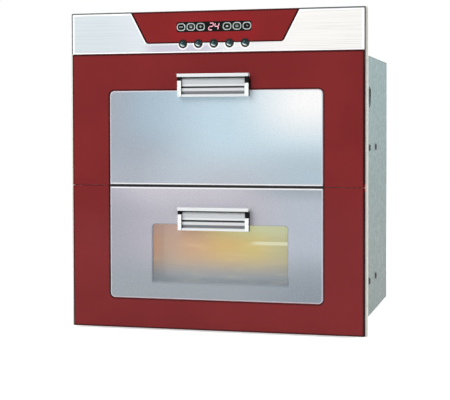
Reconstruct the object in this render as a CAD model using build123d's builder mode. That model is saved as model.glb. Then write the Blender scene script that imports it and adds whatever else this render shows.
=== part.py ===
"""Built-in dish sterilizer cabinet with two drawers, in millimetres.

X runs to the right, Y runs from the front to the rear and Z is up.  The origin lies under the
middle of the overall box, on the shelf that the feet stand on.  Depths are counted from the outer
face of the glass fronts, towards the rear.
"""

import os
from dataclasses import dataclass
from math import cos, radians, sin

from build123d import *

os.makedirs("parts", exist_ok=True)

# ---------------------------------------------------------------------------
# Driving dimensions
# ---------------------------------------------------------------------------

# Overall
front_width = 600.0  # drawer fronts and control strip
front_height = 638.0  # foot of the lower front to the top of the control strip
front_lift = 4.0  # lower front above the shelf
overall_depth = 500.0  # glass face to the outer face of the rear panel
strip_height = 81.8  # control strip
seam_height = 288.8  # gap between the fronts, above the foot of the lower one
front_gap = 1.2  # between two neighbouring fronts
body_inset = 17.5  # body side behind the edge of the fronts
body_lift = 14.0  # underside of the body above the shelf

# Fronts, from the glass face backwards
glass_thickness = 5.0
glass_arris = 0.6  # ground edge of the red glass
pane_arris = 2.0  # ground edge of the window panes
pane_clearance = 0.3  # window pane in the red glass
border_side = 80.2  # red glass beside the window
border_bottom = 60.0  # under the lower window
border_top = 74.0  # above the upper window
window_radius = 10.0
seam_lip = 1.1  # forward lip of the door frame between the two window panes
seam_lip_setback = 0.3  # lip behind the glass face
rim_thickness = 3.0  # black door frame behind the glass
rim_overhang = 1.2  # door frame beyond the glass
pane_seat = 8.0  # door frame behind the edge of the window pane
closing_gap = 0.5  # door frame to the cabinet's flange

# Cabinet front frame
flange_margin = 6.0  # flange beyond the fronts, left and right
flange_margin_z = 2.0  # and at the head and foot
flange_thickness = 3.0
rebate_depth = 6.5  # pocket that takes the door seal
frame_web = 2.0
frame_rim = 3.5  # body side to the pocket
frame_ledge = 17.0  # sealing face round each chamber mouth
frame_bar = 20.0  # cross bar between the two pockets
corner_radius = 12.0  # chamber corners
niche_screw_radius = 2.25
niche_screw_inset = 11.5  # screw line from the flange's outer edge
niche_screw_foot = 100.0  # lower screws above the shelf
niche_screw_head = 100.0  # upper screws below the top of the flange

# Body sheet metal
sheet = 1.0
fold = 10.0  # folded edges of the side panels
skirt = 12.0  # folded edges of the top and base panels
slot_top_radius = 9.0  # teardrop slot
slot_foot_radius = 3.0
slot_pitch = 26.0
slot_rim = 3.0
slot_rim_height = 1.2
slot_depth = 207.0
slot_height = 470.0
vent_length = 46.0
vent_width = 5.0
vent_pitch_x = 62.0
vent_pitch_z = 14.0
vent_columns = 4
vent_rows = 4
vent_height = 455.0

# Chambers
liner_wall = 1.2
liner_flange = 8.0
liner_depth = 440.0  # glass face to the rear wall of a chamber
insulation_thickness = 30.0
insulation_inset = 8.0  # board's sides inside the chamber's sides
insulation_end_gap = 16.0  # board's ends inside the chamber's ends
insulation_chamfer = 4.0

# Telescopic rails
rail_wall = 1.2
rail_half_height = 22.5
rail_channel = 9.0  # flange length of the outer member
rail_lip = 3.5
rail_lip_gap = 1.5  # lips past the next member
rail_member_gap = 1.8  # web to web clearance behind a member
rail_mid_channel = 8.0
rail_face_gap = 0.5  # middle member to the inner member's plate
bearing_clearance = 0.3
lip_clearance = 1.0
drawer_travel = 360.0
rail_engagement = 20.0  # rail members stay this far in each other, both stages together
rail_setback = 12.0  # rail ends behind the door liner

# Rail screws, driven through access holes in the side panels into weld nuts on the chambers
screw_radius = 2.5
screw_clearance = 0.2
screw_head_radius = 4.5
screw_head_height = 3.0
screw_first = 200.0
screw_pitch = 100.0
access_radius = 5.5
weld_nut_radius = 6.0
weld_nut_height = 6.0

# Doors behind the glass
plug_clearance = 4.0  # door liner in the chamber mouth
plug_depth = 44.0  # glass face to the rear of the door liner
plug_wall = 1.5
plug_flange = 6.0
seal_width = 10.0
seal_inset = 4.0  # seal beyond the chamber mouth
seal_gap = 0.3
glow_width = 281.0  # amber inner window
glow_height = 126.0
glow_foot = 52.0  # its lower edge above the foot of the chamber mouth
glow_thickness = 3.0
glow_radius = 7.0
glow_seat = 6.0

# Handles
handle_width = 146.0
handle_height = 46.0
handle_reach = 14.0  # in front of the glass face
handle_drop = 64.6  # centre of a handle under the top edge of its front
handle_bar = 6.5  # height of the top bar
handle_bar_wall = 2.5
handle_plate = 3.0
handle_lip = 5.0
handle_lip_setback = 4.0  # foot lip behind the face of the top bar
handle_bevel = 1.0
upper_louvre = 15.0  # height of the upper louvre
lower_louvre = 12.0
louvre_slot = 4.0  # open slot between the louvres
louvre_reach = 4.0  # nose of a louvre in front of the back plate
louvre_recess = 1.5  # slot between the louvres, into the back plate
post_width = 7.8
post_edge = 1.0
insert_heights = (7.5, 13.0)  # black inserts, left and right
insert_setback = 1.5

# Baskets
wire = 4.0  # across the flats of the drawn wire
rim_bar = 5.0
carrier_height = 24.0
carrier_thickness = 2.0
basket_front = 52.0
basket_rear = 398.0
basket_rim_rise = 60.0  # basket rim above the middle of its rails
basket_radius = 14.0
cross_wires = 5  # wires that run left to right
long_wires = 7  # wires that run front to rear
bracket_width = 46.0
weld = 0.5  # how far welded wires sink into each other

# Control strip
fascia_thickness = 1.5
control_glass_thickness = 4.0
control_glass_top = 347.0
control_glass_foot = 281.4
control_glass_margin = 18.8  # steel band under the red control glass
control_glass_radius = 8.0
control_glass_clearance = 0.4
carrier_floor = 2.0
carrier_wall = 2.0
display_width = 154.0
display_height = 20.0
display_radius = 4.0
display_drop = 31.2  # centre of the display under the top edge
display_clearance = 0.2
display_ledge = 1.5  # rim of the carrier's floor behind the display window
button_count = 5
button_pitch = 32.0
button_rise = 17.2  # button centres above the foot of the strip
bezel_radius = 9.0
bezel_bore = 6.5
bezel_reach = 1.5
bezel_bevel = 0.75
cap_clearance = 0.3
cap_reach = 3.4
cap_depth = 2.0
cap_bevel = 1.6
stem_side = 4.0
stem_hole_side = 6.0
button_travel = 1.5
button_end_gap = 0.3
board_depth = 14.0
board_thickness = 1.6
board_width = 190.0
board_height = 60.0
board_boss_side = 6.0
board_boss_inset = 6.0
switch_side = 6.0
switch_height = 4.0
switch_plunger_side = 3.0
switch_plunger = 1.3
control_box_width = 480.0
control_box_margin = 2.0
control_box_rear = 75.0
control_box_clearance = 0.3
control_box_lip = 10.0
power_board_width = 170.0
power_board_length = 42.0
power_post_side = 6.0
power_post_height = 5.0
power_post_inset = 7.0
transformer_width = 46.0
transformer_length = 36.0
transformer_height = 38.0
transformer_offset = 48.0
relay_width = 18.0
relay_length = 14.0
relay_height = 16.0
relay_pitch_x = 24.0
relay_pitch_y = 20.0
relay_offset = 30.0

# Lamps, heaters, fan, ozone generator, sensors
uv_radius = 8.0
uv_length = 300.0
uv_drop = 24.0  # lamp axis under the chamber ceiling
uv_offset = 20.0  # lamp axis in front of the chamber's rear wall
uv_cap_length = 18.0
uv_cap_wall = 0.5
holder_clearance = 0.3
holder_width = 20.0
holder_wall = 7.0
heater_radius = 5.0
heater_length = 400.0
heater_rise = 15.0
heater_first = 150.0
heater_pitch = 180.0
heater_holder_wall = 4.0
heater_holder_width = 14.0
guard_margin = 12.0
guard_gap = 2.0
guard_bars = 7
fan_size = 60.0
fan_length = 20.0
fan_bore_radius = 28.0
fan_hub_radius = 11.0
fan_tip_clearance = 0.8
fan_blades = 7
fan_pitch = 38.0
fan_shaft_radius = 1.5
fan_shaft_clearance = 0.05
fan_centre_x = 0.0
fan_centre_rise = 120.0
fan_web = 4.0
fan_blade = 1.2
fan_grille_slots = 8
fan_grille_margin = 1.5  # slots inside the ring between hub and bore
fan_end_gap = 1.0
ozone_width = 80.0
ozone_height = 46.0
ozone_length = 26.0
ozone_offset = 150.0
sensor_width = 5.0
sensor_height = 26.0
sensor_length = 20.0
sensor_rise = 90.0

# Feet and cord gland
foot_radius = 18.0
foot_chamfer = 3.0
foot_inset_x = 40.0
foot_inset_front = 45.0
foot_inset_rear = 45.0
gland_radius = 9.0
gland_nut_radius = 13.0
gland_nut = 4.0
gland_nose_radius = 7.5
gland_reach = 9.0
gland_bore = 3.6
gland_inset_x = 80.0
gland_rise = 60.0

# Trays and racks
tray_width = 110.0
tray_length = 250.0
tray_height = 48.0
tray_wall = 1.0
tray_radius = 10.0
tray_gap = 8.0
tray_slot_length = 22.0
tray_slot_columns = 2
tray_slot_rows = 5
rack_width = 380.0
rack_length = 260.0
rack_loops = 8
rack_loop_height = 62.0
rack_loop_foot = 120.0
rack_loop_top = 60.0
rack_seat_gap = 0.2  # rack wires above the basket's floor wires

# ---------------------------------------------------------------------------
# Levels worked out from them
# ---------------------------------------------------------------------------

rearmost = overall_depth + gland_reach
face_y = (handle_reach - rearmost) / 2
front_foot_z = front_lift
front_top_z = front_lift + front_height
seam_z = front_lift + seam_height
strip_foot_z = front_top_z - strip_height
body_top_z = strip_foot_z
body_half = front_width / 2 - body_inset
side_inner = body_half - sheet

flange_front = glass_thickness + rim_thickness + closing_gap
rebate_floor = flange_front + rebate_depth
frame_rear = rebate_floor + frame_web
panel_rear = overall_depth - sheet

pocket_half = body_half - frame_rim
mouth_half = pocket_half - frame_ledge
window_half = front_width / 2 - border_side

rail_mid_back = rail_wall + rail_member_gap
rail_mid_front = rail_mid_back + rail_mid_channel
rail_mid_half = rail_half_height - rail_lip - rail_lip_gap
rail_inner_back = rail_mid_back + rail_wall + rail_member_gap
rail_inner_front = rail_mid_front + rail_face_gap + rail_wall
rail_inner_half = rail_mid_half - rail_lip - rail_lip_gap
rail_front = plug_depth + rail_setback
rail_length = drawer_travel + rail_engagement

basket_half = mouth_half - rail_inner_front
door_back = glass_thickness + rim_thickness


@dataclass(frozen=True)
class Bay:
    """One drawer and the chamber behind it: its levels above the shelf."""

    name: str
    front_foot: float
    front_top: float
    pocket_foot: float
    pocket_top: float
    seam_above: bool
    rail_rise: float
    basket_rise: float

    @property
    def front_mid(self):
        return (self.front_foot + self.front_top) / 2

    @property
    def mouth_foot(self):
        return self.pocket_foot + frame_ledge

    @property
    def mouth_top(self):
        return self.pocket_top - frame_ledge

    @property
    def mouth_mid(self):
        return (self.mouth_foot + self.mouth_top) / 2

    @property
    def mouth_height(self):
        return self.mouth_top - self.mouth_foot

    @property
    def rail_z(self):
        return self.mouth_foot + self.rail_rise

    @property
    def basket_z(self):
        return self.mouth_foot + self.basket_rise

    @property
    def rim_z(self):
        return self.rail_z + basket_rim_rise

    @property
    def handle_z(self):
        return self.front_top - handle_drop

    @property
    def window_foot(self):
        return self.front_foot + (border_bottom if self.seam_above else 0.0)

    @property
    def window_top(self):
        return self.front_top - (0.0 if self.seam_above else border_top)


lower = Bay(
    name="lower",
    front_foot=front_foot_z,
    front_top=seam_z - front_gap / 2,
    pocket_foot=body_lift + frame_rim,
    pocket_top=seam_z - frame_bar / 2,
    seam_above=True,
    rail_rise=52.5,
    basket_rise=34.0,
)
upper = Bay(
    name="upper",
    front_foot=seam_z + front_gap / 2,
    front_top=strip_foot_z - front_gap,
    pocket_foot=seam_z + frame_bar / 2,
    pocket_top=body_top_z - frame_rim,
    seam_above=False,
    rail_rise=47.2,
    basket_rise=16.0,
)
bays = (lower, upper)


def facing(depth):
    """Plane parallel to the fronts: local x is X, local y is Z, and it faces the user."""
    return Plane.XZ.offset(-(face_y + depth))


def beside(side, x, depth, z):
    """Plane on the outer face of a side panel, facing outwards, with local y upwards."""
    return Plane(origin=(side * x, face_y + depth, z), x_dir=(0, side, 0), z_dir=(side, 0, 0))


def write_node(piece, name):
    """Labels a finished piece and writes it as its own STEP file."""
    piece.label = name
    export_step(piece, f"parts/{name}.step")


# ---------------------------------------------------------------------------
# Body sheet metal
# ---------------------------------------------------------------------------


def screw_sites(side, x, served):
    """Outward-facing planes at the rail screws of one side, at distance x from the middle."""
    return [
        beside(side, x, screw_first + step * screw_pitch, bay.rail_z)
        for bay in served
        for step in range(2)
    ]


def side_panel(side):
    """Folded side with a rimmed teardrop slot and an access hole at every rail screw."""
    inner = body_half - fold
    front, rear = face_y + frame_rear, face_y + panel_rear
    with BuildPart() as panel:
        with BuildSketch(Plane.XY.offset(body_lift)):
            with BuildLine():
                Polyline(
                    (side * body_half, front),
                    (side * body_half, rear),
                    (side * inner, rear),
                    (side * inner, rear - sheet),
                    (side * side_inner, rear - sheet),
                    (side * side_inner, front + sheet),
                    (side * inner, front + sheet),
                    (side * inner, front),
                    close=True,
                )
            make_face()
        extrude(amount=body_top_z - body_lift)
        slot_plane = beside(side, body_half, slot_depth, slot_height)
        with BuildSketch(slot_plane) as rim:
            with Locations((0, slot_pitch / 2)):
                Circle(slot_top_radius + slot_rim)
            with Locations((0, -slot_pitch / 2)):
                Circle(slot_foot_radius + slot_rim)
            make_hull()
        extrude(amount=slot_rim_height)
        with BuildSketch(slot_plane) as slot:
            with Locations((0, slot_pitch / 2)):
                Circle(slot_top_radius)
            with Locations((0, -slot_pitch / 2)):
                Circle(slot_foot_radius)
            make_hull()
        extrude(amount=slot_rim_height + sheet, both=True, mode=Mode.SUBTRACT)
        with Locations(*screw_sites(side, body_half, bays)):
            Cylinder(access_radius, 3 * sheet, mode=Mode.SUBTRACT)
    return panel.part


write_node(side_panel(-1), "side_panel_left")
write_node(side_panel(1), "side_panel_right")

lid_front = frame_rear + sheet
lid_rear = panel_rear - sheet
lid_length = lid_rear - lid_front
lid_mid_y = face_y + (lid_front + lid_rear) / 2


def folded_tray(z, upwards):
    """Sheet with four folded edges, between the side panels."""
    lift = skirt if upwards else -skirt
    with BuildPart() as tray:
        with BuildSketch(Plane.XY.offset(z)):
            with Locations((0, lid_mid_y)):
                Rectangle(2 * side_inner, lid_length)
        extrude(amount=lift)
        with BuildSketch(Plane.XY.offset(z + (sheet if upwards else -sheet))):
            with Locations((0, lid_mid_y)):
                Rectangle(2 * (side_inner - sheet), lid_length - 2 * sheet)
        extrude(amount=lift, mode=Mode.SUBTRACT)
    return tray.part


write_node(folded_tray(body_top_z, upwards=False), "top_panel")
write_node(folded_tray(body_lift, upwards=True), "base_panel")

gland_x = -(body_half - gland_inset_x)
gland_z = body_lift + gland_rise

with BuildPart() as rear_panel:
    with BuildSketch(facing(panel_rear)):
        with Locations((0, (body_lift + body_top_z) / 2)):
            Rectangle(2 * body_half, body_top_z - body_lift)
        with Locations((0, vent_height)):
            with GridLocations(vent_pitch_x, vent_pitch_z, vent_columns, vent_rows):
                Rectangle(vent_length, vent_width, mode=Mode.SUBTRACT)
        with Locations((gland_x, gland_z)):
            Circle(gland_radius + screw_clearance, mode=Mode.SUBTRACT)
    extrude(amount=-sheet)
write_node(rear_panel.part, "rear_panel")

# ---------------------------------------------------------------------------
# Front frame: flange against the kitchen niche, and a pocket and mouth for each drawer
# ---------------------------------------------------------------------------

flange_half = front_width / 2 + flange_margin
flange_foot_z = front_foot_z - flange_margin_z
flange_top_z = front_top_z + flange_margin_z
box_foot_z = strip_foot_z + control_box_margin
box_top_z = front_top_z - 2 * control_box_margin
niche_screw_x = flange_half - niche_screw_inset

with BuildPart() as front_frame:
    with BuildSketch(facing(flange_front)):
        with Locations((0, (flange_foot_z + flange_top_z) / 2)):
            Rectangle(2 * flange_half, flange_top_z - flange_foot_z)
        fillet(vertices(), radius=flange_margin / 2)
    extrude(amount=-flange_thickness)
    with BuildSketch(facing(flange_front)):
        with Locations((0, (body_lift + body_top_z) / 2)):
            Rectangle(2 * body_half, body_top_z - body_lift)
    extrude(amount=-(frame_rear - flange_front))
    with BuildSketch(facing(flange_front)):
        for bay in bays:
            with Locations((0, (bay.pocket_foot + bay.pocket_top) / 2)):
                RectangleRounded(2 * pocket_half, bay.pocket_top - bay.pocket_foot, corner_radius)
    extrude(amount=-rebate_depth, mode=Mode.SUBTRACT)
    with BuildSketch(facing(flange_front)):
        for bay in bays:
            with Locations((0, bay.mouth_mid)):
                RectangleRounded(2 * mouth_half, bay.mouth_height, corner_radius)
        with Locations((0, (box_foot_z + box_top_z) / 2)):
            Rectangle(control_box_width, box_top_z - box_foot_z)
        for x in (-niche_screw_x, niche_screw_x):
            with Locations((x, niche_screw_foot), (x, flange_top_z - niche_screw_head)):
                Circle(niche_screw_radius)
    extrude(amount=-(frame_rear - flange_front), mode=Mode.SUBTRACT)
write_node(front_frame.part, "front_frame")

# ---------------------------------------------------------------------------
# Chamber liners, insulation
# ---------------------------------------------------------------------------

nut_face = mouth_half + liner_wall + weld_nut_height
fan_z = upper.mouth_foot + fan_centre_rise


def liner(bay):
    """Five-sided stainless chamber, with a hexagonal weld nut outside at every rail screw."""
    with BuildPart() as chamber:
        with BuildSketch(facing(frame_rear)):
            with Locations((0, bay.mouth_mid)):
                RectangleRounded(
                    2 * (mouth_half + liner_flange),
                    bay.mouth_height + 2 * liner_flange,
                    corner_radius + liner_flange,
                )
        extrude(amount=-sheet)
        with BuildSketch(facing(frame_rear)):
            with Locations((0, bay.mouth_mid)):
                RectangleRounded(
                    2 * (mouth_half + liner_wall),
                    bay.mouth_height + 2 * liner_wall,
                    corner_radius + liner_wall,
                )
        extrude(amount=-(liner_depth + liner_wall - frame_rear))
        for side in (-1, 1):
            for site in screw_sites(side, mouth_half, [bay]):
                with BuildSketch(site):
                    RegularPolygon(weld_nut_radius, 6)
                extrude(amount=nut_face - mouth_half)
                with BuildSketch(site):
                    Circle(screw_radius + screw_clearance)
                extrude(amount=nut_face - mouth_half, mode=Mode.SUBTRACT)
        with BuildSketch(facing(frame_rear)):
            with Locations((0, bay.mouth_mid)):
                RectangleRounded(2 * mouth_half, bay.mouth_height, corner_radius)
        extrude(amount=-(liner_depth - frame_rear), mode=Mode.SUBTRACT)
        if bay is upper:
            with BuildSketch(facing(liner_depth)):
                with Locations((fan_centre_x, fan_z)):
                    with PolarLocations((fan_bore_radius + fan_hub_radius) / 2, fan_grille_slots):
                        Rectangle(
                            fan_bore_radius - fan_hub_radius - 2 * fan_grille_margin, vent_width
                        )
                with Locations((ozone_offset, fan_z)):
                    with GridLocations(0, vent_pitch_z, 1, 2):
                        Rectangle(vent_length, vent_width)
            extrude(amount=-liner_wall, mode=Mode.SUBTRACT)
    return chamber.part


for bay in bays:
    write_node(liner(bay), f"{bay.name}_liner")

with BuildPart() as insulation_board:
    with BuildSketch(Plane.XY.offset(lower.mouth_top + liner_wall)):
        with Locations((0, face_y + (frame_rear + liner_depth) / 2)):
            Rectangle(
                2 * (mouth_half - insulation_inset),
                liner_depth - frame_rear - 2 * insulation_end_gap,
            )
    extrude(amount=insulation_thickness)
    chamfer(insulation_board.edges().group_by(Axis.Z)[-1], length=insulation_chamfer)
write_node(insulation_board.part, "insulation_board")

# ---------------------------------------------------------------------------
# Telescopic rails
# ---------------------------------------------------------------------------


def rail_pair(bay, half_profile, hole=False):
    """One member of both telescopic rails of a drawer.

    half_profile lists (distance from the chamber wall, height above the rail's middle) for the
    upper half of the section, which is symmetric about its middle.
    """
    outline = half_profile + [(reach, -rise) for reach, rise in reversed(half_profile) if rise]
    with BuildPart() as members:
        for side in (-1, 1):
            with BuildSketch(facing(rail_front)):
                with BuildLine():
                    Polyline(
                        *[(side * (mouth_half - reach), bay.rail_z + rise) for reach, rise in outline],
                        close=True,
                    )
                make_face()
            extrude(amount=-rail_length)
            if hole:
                with Locations(*screw_sites(side, mouth_half, [bay])):
                    Cylinder(screw_radius + screw_clearance, 3 * rail_wall, mode=Mode.SUBTRACT)
    return members.part


outer_profile = [
    (0.0, 0.0),
    (0.0, rail_half_height),
    (rail_channel, rail_half_height),
    (rail_channel, rail_half_height - rail_lip),
    (rail_channel - rail_wall, rail_half_height - rail_lip),
    (rail_channel - rail_wall, rail_half_height - rail_wall),
    (rail_wall, rail_half_height - rail_wall),
    (rail_wall, 0.0),
]
mid_bearing_top = rail_half_height - rail_wall - bearing_clearance
mid_bearing_front = rail_channel - rail_wall - lip_clearance
mid_profile = [
    (rail_mid_back, 0.0),
    (rail_mid_back, mid_bearing_top),
    (mid_bearing_front, mid_bearing_top),
    (mid_bearing_front, rail_mid_half),
    (rail_mid_front, rail_mid_half),
    (rail_mid_front, rail_mid_half - rail_lip),
    (rail_mid_front - rail_wall, rail_mid_half - rail_lip),
    (rail_mid_front - rail_wall, rail_mid_half - rail_wall),
    (rail_mid_back + rail_wall, rail_mid_half - rail_wall),
    (rail_mid_back + rail_wall, 0.0),
]
inner_bearing_top = rail_mid_half - rail_wall - bearing_clearance
inner_bearing_front = rail_mid_front - rail_wall - lip_clearance
inner_profile = [
    (rail_inner_front, 0.0),
    (rail_inner_front, rail_inner_half),
    (inner_bearing_front, rail_inner_half),
    (inner_bearing_front, inner_bearing_top),
    (rail_inner_back, inner_bearing_top),
    (rail_inner_back, rail_inner_half - rail_wall),
    (rail_inner_front - rail_wall, rail_inner_half - rail_wall),
    (rail_inner_front - rail_wall, 0.0),
]
for bay in bays:
    write_node(rail_pair(bay, outer_profile, hole=True), f"{bay.name}_outer_rails")
    write_node(rail_pair(bay, mid_profile), f"{bay.name}_mid_rails")
    write_node(rail_pair(bay, inner_profile), f"{bay.name}_inner_rails")

screw_length = nut_face - (mouth_half - rail_wall) - screw_clearance

with BuildPart() as rail_screws:
    for side in (-1, 1):
        for site in screw_sites(side, nut_face, bays):
            with BuildSketch(site):
                RegularPolygon(screw_head_radius, 6)
            extrude(amount=screw_head_height)
            with BuildSketch(site):
                RegularPolygon(screw_radius, 6)
            extrude(amount=-screw_length)
write_node(rail_screws.part, "rail_screws")

# ---------------------------------------------------------------------------
# Drawer fronts: red glass, window pane, door frame, door liner, seal
# ---------------------------------------------------------------------------


def glass_surround(bay):
    """Red glass on three sides of the window, with a ground arris round its outer face."""
    grow = window_radius if bay.seam_above else -window_radius
    with BuildPart() as surround:
        with BuildSketch(facing(0)):
            with Locations((0, bay.front_mid)):
                Rectangle(front_width, bay.front_top - bay.front_foot)
            with Locations((0, (bay.window_foot + bay.window_top + grow) / 2)):
                RectangleRounded(
                    2 * window_half,
                    bay.window_top - bay.window_foot + window_radius,
                    window_radius,
                    mode=Mode.SUBTRACT,
                )
        extrude(amount=-glass_thickness)
        chamfer(surround.faces().sort_by(Axis.Y)[0].edges(), length=glass_arris)
    return surround.part


def pane_span(bay):
    """Foot and top of the window pane: it stops short of the glass and of the seam lip."""
    foot = bay.window_foot + (pane_clearance if bay.seam_above else seam_lip)
    top = bay.window_top - (seam_lip if bay.seam_above else pane_clearance)
    return foot, top


def window_pane(bay):
    """Frosted pane flush with the red glass, square at the seam and rounded away from it."""
    foot, top = pane_span(bay)
    with BuildPart() as pane:
        with BuildSketch(facing(0)) as outline:
            with Locations((0, (foot + top) / 2)):
                Rectangle(2 * (window_half - pane_clearance), top - foot)
            ends = outline.vertices().group_by(Axis.Y)
            fillet(ends[0] if bay.seam_above else ends[-1], radius=window_radius - pane_clearance)
        extrude(amount=-glass_thickness)
        chamfer(pane.faces().sort_by(Axis.Y)[0].edges(), length=pane_arris)
    return pane.part


def door_frame(bay):
    """Black frame that carries the glass: a rim behind it and a thin lip along the seam."""
    foot, top = pane_span(bay)
    rim_foot = bay.front_foot
    rim_top = bay.front_top
    seam_edge = rim_top if bay.seam_above else rim_foot
    inwards = -1 if bay.seam_above else 1
    with BuildPart() as frame:
        with BuildSketch(facing(glass_thickness)):
            with Locations((0, (rim_foot + rim_top) / 2)):
                Rectangle(front_width + 2 * rim_overhang, rim_top - rim_foot)
            with Locations((0, (foot + top) / 2)):
                RectangleRounded(
                    2 * (window_half - pane_seat),
                    top - foot - 2 * pane_seat,
                    window_radius - pane_clearance,
                    mode=Mode.SUBTRACT,
                )
        extrude(amount=-rim_thickness)
        with BuildSketch(facing(seam_lip_setback)):
            with Locations((0, seam_edge + inwards * seam_lip / 2)):
                Rectangle(2 * (window_half - pane_clearance), seam_lip)
        extrude(amount=-(glass_thickness - seam_lip_setback))
    return frame.part


def glow_z(bay):
    return bay.mouth_foot + glow_foot + glow_height / 2


def door_liner(bay):
    """Pressed inner panel: a shallow pan that plugs the chamber mouth."""
    half = mouth_half - plug_clearance
    height = bay.mouth_height - 2 * plug_clearance
    with BuildPart() as pan:
        with BuildSketch(facing(door_back)):
            with Locations((0, bay.mouth_mid)):
                RectangleRounded(
                    2 * (half + plug_flange), height + 2 * plug_flange, corner_radius + plug_flange
                )
        extrude(amount=-plug_wall)
        with BuildSketch(facing(door_back)):
            with Locations((0, bay.mouth_mid)):
                RectangleRounded(2 * half, height, corner_radius)
        extrude(amount=-(plug_depth - door_back))
        chamfer(pan.faces().sort_by(Axis.Y)[-1].edges(), length=plug_wall)
        with BuildSketch(facing(door_back)):
            with Locations((0, bay.mouth_mid)):
                RectangleRounded(
                    2 * (half - plug_wall), height - 2 * plug_wall, corner_radius - plug_wall
                )
        extrude(amount=-(plug_depth - door_back - plug_wall), mode=Mode.SUBTRACT)
        if bay is lower:
            with BuildSketch(facing(plug_depth - plug_wall)):
                with Locations((0, glow_z(bay))):
                    RectangleRounded(
                        glow_width - 2 * glow_seat, glow_height - 2 * glow_seat, glow_radius
                    )
            extrude(amount=-plug_wall, mode=Mode.SUBTRACT)
    return pan.part


def door_seal(bay):
    """Silicone ring between the door frame and the ledge round the chamber mouth."""
    inner_half = mouth_half + seal_inset
    inner_height = bay.mouth_height + 2 * seal_inset
    with BuildPart() as ring:
        with BuildSketch(facing(door_back)):
            with Locations((0, bay.mouth_mid)):
                RectangleRounded(
                    2 * (inner_half + seal_width),
                    inner_height + 2 * seal_width,
                    corner_radius + seal_inset,
                )
                RectangleRounded(
                    2 * inner_half, inner_height, corner_radius - seal_inset, mode=Mode.SUBTRACT
                )
        extrude(amount=-(rebate_floor - door_back - seal_gap))
        chamfer(ring.faces().sort_by(Axis.Y)[-1].edges(), length=seal_width / 5)
    return ring.part


for bay in bays:
    write_node(glass_surround(bay), f"{bay.name}_glass_surround")
    write_node(window_pane(bay), f"{bay.name}_window_pane")
    write_node(door_frame(bay), f"{bay.name}_door_frame")
    write_node(door_liner(bay), f"{bay.name}_door_liner")
    write_node(door_seal(bay), f"{bay.name}_door_seal")

with BuildPart() as inner_window:
    with BuildSketch(facing(plug_depth - plug_wall - glow_thickness)):
        with Locations((0, glow_z(lower))):
            RectangleRounded(glow_width, glow_height, glow_radius)
    extrude(amount=-glow_thickness)
write_node(inner_window.part, "inner_window")

# ---------------------------------------------------------------------------
# Handles: extruded aluminium pull between two end posts
# ---------------------------------------------------------------------------

core_half = handle_width / 2 - post_width


def handle_ends(bay):
    """Side, middle and insert foot of each end of a handle, above the shelf."""
    bar_foot = bay.handle_z + handle_height / 2 - handle_bar
    return [
        (side * (core_half + post_width / 2), bar_foot - insert)
        for side, insert in zip((-1, 1), insert_heights)
    ]


def handle(bay):
    """Extruded pull: an overhanging top bar over two louvres and a foot lip.

    Section points are (reach in front of the glass, height above the handle's foot).
    """
    foot = bay.handle_z - handle_height / 2
    bar_foot = handle_height - handle_bar
    ceiling = handle_height - handle_bar_wall
    slot_foot = handle_lip + lower_louvre
    slot_top = slot_foot + louvre_slot
    louvre_top = slot_top + upper_louvre
    lip_reach = handle_reach - handle_lip_setback
    nose = handle_plate + louvre_reach
    slot_floor = handle_plate - louvre_recess
    section = [
        (0.0, 0.0),
        (lip_reach, 0.0),
        (lip_reach, handle_lip - handle_bevel),
        (lip_reach - handle_bevel, handle_lip),
        (handle_plate, handle_lip),
        (nose, handle_lip + lower_louvre / 2),
        (nose, slot_foot),
        (slot_floor, slot_foot),
        (slot_floor, slot_top),
        (nose - handle_bevel, slot_top),
        (nose - handle_bevel, slot_top + upper_louvre / 4),
        (nose, louvre_top - upper_louvre / 4),
        (nose - 2 * handle_bevel, louvre_top),
        (handle_plate, louvre_top),
        (handle_plate, ceiling),
        (handle_reach - handle_bar_wall, ceiling),
        (handle_reach - handle_bar_wall, bar_foot),
        (handle_reach, bar_foot),
        (handle_reach, handle_height),
        (0.0, handle_height),
    ]
    with BuildPart() as pull:
        with BuildSketch(Plane.YZ.offset(-handle_width / 2)):
            with BuildLine():
                Polyline(*[(face_y - reach, foot + rise) for reach, rise in section], close=True)
            make_face()
        extrude(amount=handle_width)
        bar_edges = pull.edges().filter_by(Axis.X).group_by(Axis.Z)[-1].sort_by(Axis.Y)
        fillet(bar_edges[0], radius=handle_bar_wall / 2)
        for side in (-1, 1):
            with BuildSketch(facing(0)):
                with Locations((side * (core_half + post_width), foot)):
                    Rectangle(2 * post_width, 2 * bar_foot)
            extrude(amount=handle_reach, mode=Mode.SUBTRACT)
    return pull.part


def handle_posts(bay):
    """Die-cast end posts, under the top bar at both ends."""
    foot = bay.handle_z - handle_height / 2
    with BuildPart() as posts:
        for x, top in handle_ends(bay):
            with BuildSketch(facing(0)):
                with Locations((x, (foot + top) / 2)):
                    Rectangle(post_width, top - foot)
            extrude(amount=handle_reach - insert_setback)
        chamfer(posts.faces().filter_by(Axis.Y).group_by(Axis.Y)[0].edges(), length=post_edge)
    return posts.part


def handle_inserts(bay):
    """Black insert between each post and the top bar."""
    with BuildPart() as inserts:
        for (x, foot), insert in zip(handle_ends(bay), insert_heights):
            with BuildSketch(facing(0)):
                with Locations((x, foot + insert / 2)):
                    Rectangle(post_width, insert)
            extrude(amount=handle_reach - handle_bar_wall - insert_setback)
    return inserts.part


for bay in bays:
    write_node(handle(bay), f"{bay.name}_handle")
    write_node(handle_posts(bay), f"{bay.name}_handle_posts")
    write_node(handle_inserts(bay), f"{bay.name}_handle_inserts")

# ---------------------------------------------------------------------------
# Wire baskets
# ---------------------------------------------------------------------------

wire_radius = wire / 2 / cos(radians(30))  # corner radius of the six-sided wire
leg_x = basket_half - carrier_thickness - wire / 2 + weld
leg_front = basket_front + wire / 2
leg_rear = basket_rear - wire / 2


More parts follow.
